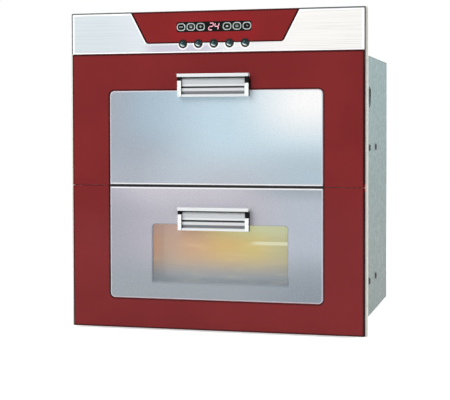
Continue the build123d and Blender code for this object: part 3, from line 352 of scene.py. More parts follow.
@dataclass(frozen=True, kw_only=True)
class DoorFrame(MouldedPlastic):
    """Black ABS of the door frames, with red painted light where its edge shows beside the window at the
    seam, so the gap there shows no shade.
    """

    window_half: float
    seam: float
    painted_edge_light: str = "A03038"

    def layers(self, tree: NodeTree, second: list[Layer]) -> list[Layer]:
        """Returns the red painted light at the seam."""
        xyz = axes(tree)
        # red painted light in the gap beside the window, so the seam shows no shade on the red glass
        beside = (away(tree, xyz["X"]), self.window_half, self.window_half + 1 * MM)
        under = (xyz["Z"], self.seam - 8 * MM, self.seam - 6 * MM)
        above = (xyz["Z"], self.seam + 8 * MM, self.seam + 6 * MM)
        return [*second, Layer(self.painted_edge_light, (beside, under, above))]


@dataclass(frozen=True)
class BackPaintedGlass(Finish):
    """Tempered glass enamelled wine red on its rear face: deep, even colour under a flat gloss.

    The enamel stops in a thin darker line along the edges that the outlines give; round a handle the same
    line is painted shadow.
    """

    edge_line_and_shadow_colour: str = "2C0206"
    line_half: float = 2.3 * MM
    outlines: tuple[Outline, ...] = ()
    cloud_colour: str = "8C2A2C"
    painted_edge_light: str = "96262C"
    glow_colour: str = "9C1C23"
    glow_box: tuple[float, float, float, float] | None = None
    # half width of the foot, height of the foot, slope of the sides and height of the top
    cut: tuple[float, float, float, float] | None = None

    def dress(self, tree: NodeTree, shader: Node) -> None:
        """Adds the enamel's faint clouding, its edge lines with the painted shadow round a handle, the
        painted glow by the display and the painted light on edges that face up or down.
        """
        clouds = grain(tree, 110 * MM)
        level = away(tree, axes(tree, "Normal")["Z"])
        layers = [Layer(self.cloud_colour, ((clouds, 0.35, 0.65),), 0.3)]
        # a painted glow of the lit display in the red glass round it
        if self.glow_box:
            near = outline_distance(tree, *self.glow_box, self.glow_box[3] * 0.9)
            layers.append(Layer(self.glow_colour, ((near, 18 * MM, -8 * MM),), 0.4))
        if self.cut:
            *sides, top = self.cut
            past, z = past_slope(tree, *sides), axes(tree)["Z"]
            foot = self.cut[1]
            for run in (
                (past, -4.4 * MM, -2.8 * MM),
                (z, foot + 3.0 * MM, foot + 1.6 * MM),
                (z, top - 3.0 * MM, top - 1.6 * MM),
            ):
                layers.append(Layer(self.edge_line_and_shadow_colour, (run,)))
        # dark lines along the outlines: the enamel's edge at the window and the glass's edges, and painted
        # shadow round a handle
        for outline in self.outlines:
            size = away(tree, outline_distance(tree, *outline))
            layers.append(Layer(self.edge_line_and_shadow_colour, ((size, self.line_half * 1.7, self.line_half * 0.6),)))
        # the edges that face up or down, at the seam too, are painted brighter red: painted light that keeps
        # the gap between the fronts from showing as a shaded line
        layers.append(Layer(self.painted_edge_light, ((level, 0.6, 0.8),)))
        self.tint(tree, shader, *layers)


class Pane(Enum):
    """Which of the two frosted panes, or the drawer behind it, a thing is for."""

    UPPER = "upper"
    LOWER = "lower"


@dataclass(frozen=True, kw_only=True)
class FrostedPane(Finish):
    """Acid-etched glass with a ground edge: a silver-grey veil with a fine speckle.

    The etching is lighter in front of the amber inner window, so that its glow comes through.
    """

    pane: Pane
    half_width: float
    low: float
    high: float
    # outline of the whole window, and the height of the seam between its panes
    window: Outline
    seam: float
    # X, Z, half width and half height of the lighter zone
    zone: tuple[float, float, float, float] | None = None
    speckle: float = 2.4 * MM
    veil: float = 0.93
    zone_veil: float = 0.16

    def dress(self, tree: NodeTree, shader: Node) -> None:
        """Adds the veil's slow change of tone, which is partly painted reflection and shade, the speckle,
        the painted highlights along its edges, the black band along the seam and the lighter zone.
        """
        xyz = axes(tree)
        x, z, w = xyz["X"], xyz["Z"], self.half_width
        height = self.high - self.low
        foot, low, middle, high, top = (self.low + share * height for share in (0.0, 0.25, 0.5, 0.75, 1.0))
        # the tones of both panes are partly painted reflection and shade of the studio light, darker towards
        # the foot
        if self.pane is Pane.UPPER:
            layers = [
                Layer("AFB6C1", ((z, middle, foot),)),
                Layer("A9C1D1", ((x, -w, -0.6 * w), (z, low, high)), 0.7),
                Layer("C6DDE9", ((x, -0.8 * w, 0.12 * w),)),
                Layer("BEC4CE", ((x, -0.98 * w, 0.12 * w), (z, middle, foot))),
                # a white painted highlight at the upper right of the upper pane
                Layer("FFFFFF", ((x, 0.1 * w, 0.85 * w), (z, low, 0.5 * (high + top)))),
                Layer("B5C8D4", ((x, 0.1 * w, 0.9 * w), (z, middle, foot + 0.1 * height))),
            ]
        else:
            layers = [
                Layer("C0BEC8", ((x, -w, -0.35 * w),)),
                Layer("B8C2CE", ((x, 0.25 * w, 0.9 * w),)),
                Layer("CCC9D3", ((z, high, top), (x, 0.5 * w, -0.1 * w), (x, -1.3 * w, -0.5 * w))),
                Layer("A3ACB5", ((z, high + 0.1 * height, top), (x, 0.2 * w, 0.8 * w))),
                Layer("A3ABB2", ((z, middle, foot + 0.12 * height),)),
                Layer("929CA7", ((z, middle, foot), (x, 0.1 * w, 0.95 * w))),
            ]
        fine = grain(tree, self.speckle)
        layers.append(Layer("808890", ((fine, 0.5, 0.3),), 0.14))
        layers.append(Layer("FFFFFF", ((fine, 0.5, 0.7),), 0.1))
        border = outline_distance(tree, *self.window)
        # a painted highlight along the window's edge
        layers.append(Layer("EEF0F8", ((border, -3.2 * MM, -1.6 * MM),), 0.8))
        beside = away(tree, z, self.seam)
        # a painted highlight beside the seam
        layers.append(Layer("FFFFFF", ((beside, 5.8 * MM, 4.8 * MM),)))
        # a black band painted along the seam: painted shade of the gap between the panes
        layers.append(Layer("020203", ((beside, 2.9 * MM, 2.3 * MM),)))
        flat = away(tree, axes(tree, "Normal")["Y"])
        # a painted highlight on the ground edge, away from the seam
        layers.append(Layer("F4F4FB", ((flat, 0.97, 0.85), (beside, 2.3 * MM, 2.9 * MM))))
        self.tint(tree, shader, *layers)
        if self.zone is None:
            shader.inputs["Alpha"].default_value = self.veil
            return
        _, zone_z, _, half_z = self.zone
        near = outline_distance(tree, *self.zone, 8 * MM)
        white, black = "FFFFFF", "000000"
        foot_fade = (z, zone_z - 0.96 * half_z, zone_z - 0.8 * half_z)
        clear = Layer(white, ((near, 2.5 * MM, -2.5 * MM), foot_fade))
        share = painted(tree, black, clear, Layer(black, ((flat, 0.97, 0.85),)))
        values = {"Value": share, "To Min": self.veil, "To Max": self.zone_veil}
        tree.links.new(add_node(tree, "MapRange", values).outputs["Result"], shader.inputs["Alpha"])


@dataclass(frozen=True, kw_only=True)
class AmberGlass(Finish):
    """Amber heat-proof glass made to glow with painted lamp light: orange at the left, greener at the right.
    """

    half_width: float
    low: float
    high: float

    def dress(self, tree: NodeTree, shader: Node) -> None:
        """Adds the change of colour across the glass, partly painted light, which its glow shows too."""
        xyz = axes(tree)
        x, z, w = xyz["X"], xyz["Z"], self.half_width
        height = self.high - self.low
        upper = self.high - 0.3 * height
        ripples = grain(tree, 60 * MM, (1.2, 1.2, 0.25))
        # a painted highlight streak in the greener end
        band = away(tree, z, self.low + 0.72 * height)
        self.tint(
            tree,
            shader,
            # the tones are the glass's amber and, in part, painted lamp light and reflection, greyer and
            # darker towards the foot
            Layer("A8825C", ((x, -0.96 * w, -0.84 * w),)),
            Layer("B2864A", ((x, -0.7 * w, -0.4 * w),)),
            Layer("BE9A22", ((x, -0.45 * w, 0.1 * w),)),
            Layer("BBA530", ((x, 0.1 * w, 0.5 * w),)),
            Layer("A89F58", ((x, 0.5 * w, 0.9 * w),)),
            Layer("BCC286", ((z, upper, self.high), (x, -0.6 * w, 0.4 * w))),
            Layer("AC8468", ((z, upper, self.high), (x, 0.2 * w, -0.8 * w))),
            Layer("A08C70", ((z, self.low + 0.7 * height, self.low + 0.3 * height),), 0.6),
            Layer("7A8288", ((z, self.low + 0.5 * height, self.low + 0.1 * height),)),
            Layer("D6D6A8", ((x, 0.4 * w, 0.6 * w), (band, 5 * MM, 2 * MM)), 0.8),
            Layer("E0CE90", ((ripples, 0.5, 0.75),), 0.12),
        )


@dataclass(frozen=True)
class BrushedMetal(Grained):
    """Sheet or bar brushed one way: hair lines that stretch the highlight across them.

    The hair lines of real sheet are about 0.1 mm apart, and are drawn coarser, so that they show.
    """

    size: float = 1.1 * MM
    stretch: tuple[float, float, float] = (150.0, 1.0, 1.0)
    detail: float = 3.0
    second: str = "A4A8AB"
    share: float = 0.35
    depth: float = 0.01 * MM
    swing: float = 0.07


@dataclass(frozen=True, kw_only=True)
class ChamberSteel(BrushedMetal):
    """Brushed stainless of a chamber, dull and dark outside, where the body's shade falls on it."""

    half_width: float

    def layers(self, tree: NodeTree, second: list[Layer]) -> list[Layer]:
        """Returns the dark outside of the side walls under the hair lines."""
        side = away(tree, axes(tree)["X"])
        return [Layer("1B1E1F", ((side, self.half_width, self.half_width + 0.4 * MM),)), *second]


@dataclass(frozen=True, kw_only=True)
class FasciaSteel(BrushedMetal):
    """Brushed steel of the control strip, cooler at the left and painted lighter towards the right.

    Painted shade lines run along its folded top and left edges, a lavender painted reflection lies under the
    cut-out's foot, and painted highlights run along its cut-outs and its edges.
    """

    low: float
    high: float
    half_width: float
    # half width of the cut-out's foot, height of the foot and slope of the sides
    cut: tuple[float, float, float]
    # height, pitch and radius of the buttons' holes
    buttons: tuple[float, float, float]

    def layers(self, tree: NodeTree, second: list[Layer]) -> list[Layer]:
        """Returns the strip's painted lighter right, its painted reflection, its painted highlights and its
        painted shade lines.
        """
        xyz = axes(tree)
        x, z = xyz["X"], xyz["Z"]
        side = add_node(tree, "Math", {"operation": "ABSOLUTE", 0: x}).outputs[0]
        foot = self.cut[1]
        past = past_slope(tree, *self.cut)
        button_z, pitch, radius = self.buttons
        near = add_node(tree, "Math", {"operation": "PINGPONG", 0: x, 1: pitch / 2}).outputs[0]
        under = add_node(tree, "Math", {"operation": "SUBTRACT", 0: z, 1: button_z}).outputs[0]
        spoke = add_node(tree, "CombineXYZ", {"X": near, "Z": under}).outputs[0]
        reach = add_node(tree, "VectorMath", {"operation": "LENGTH", 0: spoke}).outputs["Value"]
        row = (side, 2.5 * pitch + 1 * MM, 2.5 * pitch)
        # a lavender painted reflection under the cut-out's foot, and painted highlights along the cut-out
        # and round the button holes
        painted_reflection = ((x, 0.03, -0.03), (x, -0.16, -0.12), (z, foot - 3 * MM, foot - 6 * MM))
        cut_highlight = ((past, 0.4 * MM, 1.0 * MM), (past, 3.4 * MM, 2.4 * MM), (z, foot, foot + 1 * MM))
        hole_highlight = ((reach, radius, radius + 0.5 * MM), (reach, radius + 3 * MM, radius + 2 * MM), row)
        return [
            # painted lighter towards the right
            Layer("D9DDE2", ((x, -0.25, -0.05),)),
            Layer("EEECE9", ((x, -0.05, 0.2),)),
            Layer("B9B6C6", painted_reflection, 0.8),
            Layer("FFFFFF", cut_highlight),
            # painted highlights along the foot, below the top and beside the sides
            Layer("FFFFFF", ((z, self.low + 2.4 * MM, self.low + 1.4 * MM),)),
            Layer("FFFFFF", hole_highlight),
            Layer("FFFFFF", ((z, self.high - 5.0 * MM, self.high - 4.0 * MM),)),
            Layer("FFFFFF", ((side, self.half_width - 5.0 * MM, self.half_width - 4.0 * MM),)),
            # painted shade lines along the top and left edges
            Layer("646C70", ((z, self.high - 2.2 * MM, self.high - 1.4 * MM),)),
            Layer("646C70", ((x, 2.0 * MM - self.half_width, 1.2 * MM - self.half_width),)),
            *second,
        ]


@dataclass(frozen=True, kw_only=True)
class LouvreAluminium(BrushedMetal):
    """Extruded aluminium with a satin anodised skin: pale ribs with dark slots between them, drawn as bands
    of painted light and shade.
    """

    foot: float
    # height above the handle's foot where a band of painted light or shade starts and ends, and its tone;
    # the dark bands are painted shade in the slot and under the top bar, the mid-grey one painted shade on
    # the lower rib
    light_and_shade_bands: tuple[tuple[float, float, str], ...] = (
        (5.4 * MM, 11.6 * MM, "8B8C90"),
        (11.6 * MM, 16.8 * MM, "D2D4D6"),
        (17.2 * MM, 20.8 * MM, "23282D"),
        (25.0 * MM, 32.4 * MM, "BFC2C6"),
        (36.3 * MM, 39.3 * MM, "23282D"),
    )

    def layers(self, tree: NodeTree, second: list[Layer]) -> list[Layer]:
        """Returns the bands of painted light and shade on the ribs and slots."""
        height, soft = axes(tree)["Z"], 0.5 * MM
        tones = []
        for low, high, tone in self.light_and_shade_bands:
            low, high = self.foot + low, self.foot + high
            runs = ((height, low - soft, low + soft), (height, high + soft, high - soft))
            tones.append(Layer(tone, runs))
        return [*tones, *second]


@dataclass(frozen=True)
class GalvanisedSheet(Finish):
    """Hot-dip zinc on steel sheet: flat crystals (spangle) of slightly different greys, 6 mm across."""

    spangle: float = 6 * MM
    second_colour: str = "68736F"
    # height of the folded top edge, far above the object where there is none
    top: float = 10.0
    bore_colour: str = "121515"
    # Y behind the front fold, height above the foot's fold and depth of the top's fold
    front_fold: float = -225 * MM
    foot_fold: float = 40 * MM
    top_fold: float = 24 * MM

    def dress(self, tree: NodeTree, shader: Node) -> None:
        """Adds the spangle, a slow darkening towards the foot, painted shade in the slot and holes, and a
        painted shade line and painted highlight along the folded top edge.
        """
        xyz = axes(tree)
        height = xyz["Z"]
        edge_on = away(tree, axes(tree, "Normal")["X"])
        # the walls of the slot and holes lie in shade, away from the sheet's own folds
        inside = (xyz["Y"], self.front_fold, self.front_fold + 5 * MM)
        above = (height, self.foot_fold, self.foot_fold + 5 * MM)
        below = (height, self.top - self.top_fold + 4 * MM, self.top - self.top_fold)
        place = add_node(tree, "TexCoord", {}).outputs["Object"]
        values = {"Vector": place, "Scale": 1 / self.spangle, "Randomness": 1.0}
        crystals = add_node(tree, "TexVoronoi", values)
        share = add_node(tree, "SeparateXYZ", {0: crystals.outputs["Color"]}).outputs["X"]
        self.tint(
            tree,
            shader,
            Layer(self.second_colour, ((share, 0.0, 1.0),), 0.35),
            Layer(self.second_colour, ((height, 0.6, 0.0),), 0.8),
            Layer(self.bore_colour, ((edge_on, 0.6, 0.4), inside, above, below)),
            # a painted shade line and a painted highlight along the folded top edge
            Layer("4E5858", ((height, self.top - 3.4 * MM, self.top - 2.8 * MM),)),
            Layer("E2EAE8", ((height, self.top - 1.9 * MM, self.top - 1.5 * MM),)),
        )
        textured(tree, shader, share, 0.0, 0.08)


@dataclass(frozen=True)
class BakedEnamel(Grained):
    """Stoved enamel on sheet metal: satin, with the faint orange peel of sprayed paint."""

    size: float = 2.2 * MM
    detail: float = 1.0
    second: str = "D8D2C0"
    depth: float = 0.03 * MM
    swing: float = 0.04


@dataclass(frozen=True, kw_only=True)
class FrontEnamel(BakedEnamel):
    """Cream enamel of the front frame, with a black stripe of painted shade behind the gap between the
    windows.
    """

    window_half: float
    seam: float
    gap_shade_colour: str = "030303"

    def layers(self, tree: NodeTree, second: list[Layer]) -> list[Layer]:
        """Returns the orange peel and the black stripe of painted shade over it."""
        xyz = axes(tree)
        # black painted shade where the gap between the fronts looks onto the frame
        stripe = (away(tree, xyz["Z"], self.seam), 7 * MM, 6 * MM)
        behind = (away(tree, xyz["X"]), self.window_half + 1 * MM, self.window_half)
        return [*second, Layer(self.gap_shade_colour, (stripe, behind))]


@dataclass(frozen=True)
class PolishedMetal(Finish):
    """Chromed or zinc-plated metal: bright, with fine wipe marks in its gloss."""

    marks: float = 3 * MM

    def dress(self, tree: NodeTree, shader: Node) -> None:
        """Adds the wipe marks."""
        textured(tree, shader, grain(tree, self.marks), 0.0, self.roughness * 0.5)


@dataclass(frozen=True)
class CastSilver(PolishedMetal):
    """Die-cast zinc under satin silver paint, with painted shade on the sides that face right."""

    right_shade_colour: str = "2A2F31"

    def dress(self, tree: NodeTree, shader: Node) -> None:
        """Adds the wipe marks and the painted shade on the right-hand sides."""
        super().dress(tree, shader)
        # painted shade on the sides that face right
        facing = axes(tree, "Normal")["X"]
        self.tint(tree, shader, Layer(self.right_shade_colour, ((facing, 0.75, 0.9),)))


@dataclass(frozen=True)
class DarkChrome(Finish):
    """Dark chrome of the button domes with a painted reflection: deep teal above, a painted highlight low on
    the left.
    """

    upper_reflection_colour: str = "10292B"

    def dress(self, tree: NodeTree, shader: Node) -> None:
        """Adds the painted reflection and highlight, which change with the way the surface faces."""
        facing = axes(tree, "Normal")
        values = {"operation": "MULTIPLY_ADD", 0: facing["X"], 1: 0.5, 2: facing["Z"]}
        slant = add_node(tree, "Math", values).outputs[0]
        self.tint(
            tree,
            shader,
            # a painted highlight low on the left, a paler ring round it, and the deep teal of the painted
            # reflection above
            Layer("F8FDFC", ((slant, -0.72, -0.6),)),
            Layer("4F7F7D", ((slant, -0.46, -0.34),)),
            Layer(self.upper_reflection_colour, ((slant, -0.26, -0.02),)),
        )


@dataclass(frozen=True)
class PressedWool(Grained):
    """Glass-wool board: matted yellow fibres about a millimetre apart, with paler tufts."""

    size: float = 1.2 * MM
    stretch: tuple[float, float, float] = (1.0, 3.0, 1.0)
    detail: float = 4.0
    second: str = "F0E3B0"
    run: tuple[float, float] = (0.35, 0.65)
    share: float = 1.0
    depth: float = 0.4 * MM
    swing: float = 0.03


@dataclass(frozen=True)
class CircuitLaminate(Finish):
    """Glass-epoxy board under green solder resist, with tinned pads 3.2 mm apart."""

    pad_pitch: float = 3.2 * MM

    def dress(self, tree: NodeTree, shader: Node) -> None:
        """Adds the pads."""
        place = add_node(tree, "TexCoord", {}).outputs["Object"]
        values = {"Vector": place, "Scale": 1 / self.pad_pitch, "distance": "CHEBYCHEV"}
        spacing = add_node(tree, "TexVoronoi", values).outputs["Distance"]
        self.tint(tree, shader, Layer("C9CBB8", ((spacing, 0.16, 0.1),)))


@dataclass(frozen=True)
class QuartzTube(Grained):
    """Fused quartz: clear over the lamp's electrodes, milky over a heater's coil."""

    size: float = 5 * MM
    stretch: tuple[float, float, float] = (1.0, 10.0, 10.0)
    second: str = "FFFFFF"
    run: tuple[float, float] = (0.35, 0.65)
    share: float = 1.0


@dataclass(frozen=True)
class LitMark(Grained):
    """A mark lit from behind through the smoked window: no gloss, a little uneven as diffused light."""

    size: float = 6 * MM
    second: str = "FFFFFF"
    run: tuple[float, float] = (0.45, 0.7)


# what each slot of the record is made of
GALVANISED = GalvanisedSheet("galvanised_sheet", "A4B8B8", roughness=0.5, metallic=0.3)
STAINLESS = BrushedMetal("brushed_stainless", "C4C6C8", roughness=0.34, metallic=0.9)
GLASS_WOOL = PressedWool("pressed_glass_wool", "D2B45A", roughness=0.9)
BLACK_ABS = MouldedPlastic("black_moulded_abs", "060607", roughness=0.5, specular=0.3)
# the inserts' near-black is partly their own black and partly painted shade under the ends of the handle's
# top bar
BLACK_INSERT = MouldedPlastic("matt_black_insert", "020203", roughness=0.6, specular=0.12)
GLOSS_BLACK = MouldedPlastic("gloss_black_abs", "040405", roughness=0.16)
SMOKED = MouldedPlastic("smoked_acrylic", "020303", roughness=0.09, ior=1.49, specular=0.15)
CIRCUIT = CircuitLaminate("green_circuit_laminate", "0E4A26", roughness=0.4)
QUARTZ = QuartzTube("clear_quartz", "E6EEF4", roughness=0.05, ior=1.46, clear=0.55)
MILKY_QUARTZ = QuartzTube("milky_quartz", "EDE9E0", roughness=0.3, ior=1.46, clear=0.1, second="F8F2E6")
CERAMIC = BakedEnamel("glazed_ceramic", "F3F1EA", roughness=0.12)
CHROMED_WIRE = PolishedMetal("chromed_wire", "D8DADD", roughness=0.14, metallic=1.0)
WHITE_ABS = MouldedPlastic("white_moulded_abs", "E6E6E2", roughness=0.42)
ZINC_PLATE = PolishedMetal("zinc_plated_screws", "B9BCBB", roughness=0.28, metallic=1.0)
# the rail screws' near-black colour is painted shade of the access holes they sit in
SHADED_ZINC = PolishedMetal("shade_dark_rail_screws", "24282A", roughness=0.4, metallic=0.6)
RUBBER = MouldedPlastic("black_rubber", "0D0D0D", roughness=0.8, size=0.6 * MM)
ZINC_RAIL = BrushedMetal(
    "zinc_plated_rail", "BCC0C2", roughness=0.3, metallic=1.0, stretch=(1.0, 150.0, 1.0)
)
SILICONE = MouldedPlastic("grey_silicone", "BDBDB9", roughness=0.6, ior=1.41)
SILVER_CAST = CastSilver("satin_silver_casting", "EEF1F1", roughness=0.3, metallic=0.4)
DOME_CHROME = DarkChrome("dark_chrome_dome", "16302F", roughness=0.12, metallic=0.5)
MARK_LIGHT = LitMark("pale_lit_marks", "98A29F", roughness=0.6, glow=0.25)
DIGIT_LIGHT = LitMark("pink_lit_digits", "E89CAC", roughness=0.6, glow=0.55)
# the grommets' near-black colour is painted shade in and round the access holes
GROMMET = MouldedPlastic("shade_dark_grommet", "1A1E1E", roughness=0.45)


@cache
def material_of(finish: Finish) -> Material:
    """Returns the finish's material, built at its first use."""
    return finish.material()


def dress(finish: Finish, *names: str) -> None:
    """Gives CAD nodes a finish.

    Args:
        finish: what their surface is.
        names: the nodes.
    """
    for name in names:
        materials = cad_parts[name].data.materials
        materials.clear()
        materials.append(material_of(finish))
        log.info("dressed %s in %s", name, finish.name)


# ---------------------------------------------------------------------------
# Mesh helpers
# ---------------------------------------------------------------------------


def place_piece(
    name: str, shape: BMesh, finish: Finish, body: str, replaced: tuple[str, ...] = ()
) -> Object:
    """Turns a finished bmesh into a piece that rides on a body.

    Args:
        name: name of the piece.
        shape: its mesh in the frame's metres, which is used up.
        finish: what its surface is.
        body: CAD body that carries it.
        replaced: CAD nodes that it stands for.

    Returns:
        The object, with its place in its mesh.
    """
    bmesh.ops.recalc_face_normals(shape, faces=shape.faces[:])
    # the operators leave their results in an order that changes from run to run
    centre = (shape.faces, lambda face: face.calc_center_median()[:])
    for items, place in ((shape.verts, lambda vert: vert.co[:]), centre):
        ranks = {item: rank for rank, item in enumerate(sorted(items, key=place))}
        items.sort(key=ranks.get)
    mesh = bpy.data.meshes.new(name)
    shape.to_mesh(mesh)
    shape.free()
    mesh.materials.append(material_of(finish))
    mesh.polygons.foreach_set("use_smooth", [True] * len(mesh.polygons))
    mesh.set_sharp_from_angle(angle=math.radians(SHARP_ANGLE))
    piece = bpy.data.objects.new(name, mesh)
    bpy.context.scene.collection.objects.link(piece)
    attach(piece, body)
    if replaced:
        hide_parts(*replaced)
    log.info("made %s, %d faces", name, len(mesh.polygons))
    return piece


def linked(shape: BMesh, known: set[BMVert]) -> list[BMFace]:
    """Returns the faces at the vertices that aren't known yet, in their own order."""
    new = (vert for vert in shape.verts if vert not in known)
    return list(dict.fromkeys(face for vert in new for face in vert.link_faces))


def add_plate(
    shape: BMesh, size: tuple[float, float], radius: float, thickness: float, stroke: float = 0.0
) -> list[BMVert]:
    """Adds an upright plate with rounded corners, facing the front, its front face at y = 0.

    Args:
        shape: bmesh that takes it.
        size: width and height.
        radius: radius of the corners.
        thickness: how far it goes back.
        stroke: width of its border, where only a border is wanted.

    Returns:
        Its vertices.
    """
    known = set(shape.verts)
    made = bmesh.ops.create_grid(shape, x_segments=1, y_segments=1, size=0.5)["verts"]
    turn = Matrix.Rotation(math.radians(90), 4, "X")
    bmesh.ops.transform(shape, verts=made, matrix=turn @ Matrix.Diagonal((*size, 1.0, 1.0)))
    values = {"affect": "VERTICES", "segments": 5, "profile": 0.5, "material": -1}
    bmesh.ops.bevel(shape, geom=made, offset=radius, offset_type="OFFSET", **values)
    faces = linked(shape, known)
    if stroke:
        values = {"thickness": stroke, "use_even_offset": True, "use_boundary": True}
        bmesh.ops.inset_region(shape, faces=faces, **values)
        bmesh.ops.delete(shape, geom=faces, context="FACES")
        faces = linked(shape, known)
    back = bmesh.ops.extrude_face_region(shape, geom=faces)["geom"]
    moved = [item for item in back if isinstance(item, BMVert)]
    bmesh.ops.translate(shape, verts=moved, vec=(0.0, thickness, 0.0))
    return [vert for vert in shape.verts if vert not in known]


def add_block(shape: BMesh, low: Vector, high: Vector, bevel: float) -> None:
    """Adds a block with rounded edges between two corners.

    Args:
        shape: bmesh that takes it.
        low: its lowest corner.
        high: its highest corner.
        bevel: how far its edges are rounded off.
    """
    made = bmesh.ops.create_cube(shape, size=1.0)["verts"]
    middle = Matrix.Translation((low + high) / 2)
    bmesh.ops.transform(shape, verts=made, matrix=middle @ Matrix.Diagonal((*(high - low), 1.0)))
    edges = list(dict.fromkeys(edge for vert in made for edge in vert.link_edges))
    bmesh.ops.bevel(
        shape, geom=edges, offset=bevel, affect="EDGES", segments=2, profile=0.5, material=-1
    )


def add_lathed(
    shape: BMesh, outline: list[tuple[float, float]], steps: int
) -> list[BMVert]:
    """Adds a turned form about the Y axis.

    Args:
        shape: bmesh that takes it.
        outline: (radius, y) points from one end of the axis to the other.
        steps: faces round the axis.

    Returns:
        Its vertices.
    """
    known = set(shape.verts)
    verts = [shape.verts.new((radius, y, 0.0)) for radius, y in outline]
    edges = [shape.edges.new(pair) for pair in zip(verts, verts[1:])]
    bmesh.ops.spin(
        shape,
        geom=verts + edges,
        cent=(0.0, 0.0, 0.0),
        axis=(0.0, 1.0, 0.0),
        angle=math.tau,
        steps=steps,
        use_merge=True,
        use_normal_flip=False,
        use_duplicate=False,
    )
    made = [vert for vert in shape.verts if vert not in known]
    bmesh.ops.remove_doubles(shape, verts=made, dist=0.001 * MM)
    return [vert for vert in shape.verts if vert not in known]


def add_wire(
    shape: BMesh, points: list[tuple[float, float, float]], radius: float, bend: float
) -> None:
    """Adds a round wire along straight runs, bent round the points between them.

    Args:
        shape: bmesh that takes it.
        points: ends of the runs. Where the last is the first again, the wire is a closed ring.
        radius: radius of the wire.
        bend: radius of its bends, to the middle of the wire.
    """
    path = [Vector(point) for point in points]
    known = set(shape.verts)
    closed = path[0] == path[-1]
    start, aim = path[0], (path[1] - path[0]).normalized()
    turn = Matrix.Translation(start) @ aim.to_track_quat("Z", "Y").to_matrix().to_4x4()
    ring = bmesh.ops.create_circle(shape, cap_ends=False, segments=WIRE_SIDES, radius=radius, matrix=turn)
    ring = ring["verts"]
    edges = list(dict.fromkeys(edge for vert in ring for edge in vert.link_edges))
    if not closed:
        bmesh.ops.edgeloop_fill(shape, edges=edges)
    for number, corner in enumerate(path[1:], start=1):
        last = number == len(path) - 1
        ahead = aim if last else (path[number + 1] - corner).normalized()
        setback = bend * math.tan(aim.angle(ahead) / 2)
        out = bmesh.ops.extrude_edge_only(shape, edges=edges)["geom"]
        moved = {item for item in out if isinstance(item, BMVert)}
        edges = [item for item in out if isinstance(item, BMEdge) and set(item.verts) <= moved]
        run = aim * ((corner - start).length - setback)
        bmesh.ops.translate(shape, verts=list(moved), vec=run)
        start = start + run
        if not last:
            axis = aim.cross(ahead).normalized()
            out = bmesh.ops.spin(
                shape,
                geom=edges,
                cent=start + axis.cross(aim) * bend,
                axis=axis,
                angle=aim.angle(ahead),
                steps=BEND_STEPS,
                use_duplicate=False,
            )["geom_last"]
            edges = [item for item in out if isinstance(item, BMEdge)]
            start, aim = corner + ahead * setback, ahead
    if closed:
        made = [vert for vert in shape.verts if vert not in known]
        bmesh.ops.remove_doubles(shape, verts=made, dist=0.01 * MM)
    else:
        bmesh.ops.edgeloop_fill(shape, edges=edges)


def middle_of(node: str) -> Vector:
    """Returns the middle of a node's box."""
    return sum(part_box(node), Vector()) / 2


def seam_height() -> float:
    """Returns the height of the middle of the gap between the two window panes."""
    return (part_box("lower_window_pane")[1].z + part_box("upper_window_pane")[0].z) / 2


def spread(count: int, low: float, high: float) -> list[float]:
    """Returns evenly spaced places, one at the middle of each share of the span."""
    return [low + (high - low) * (place + 0.5) / count for place in range(count)]


# ---------------------------------------------------------------------------
# Sub-assemblies
# ---------------------------------------------------------------------------


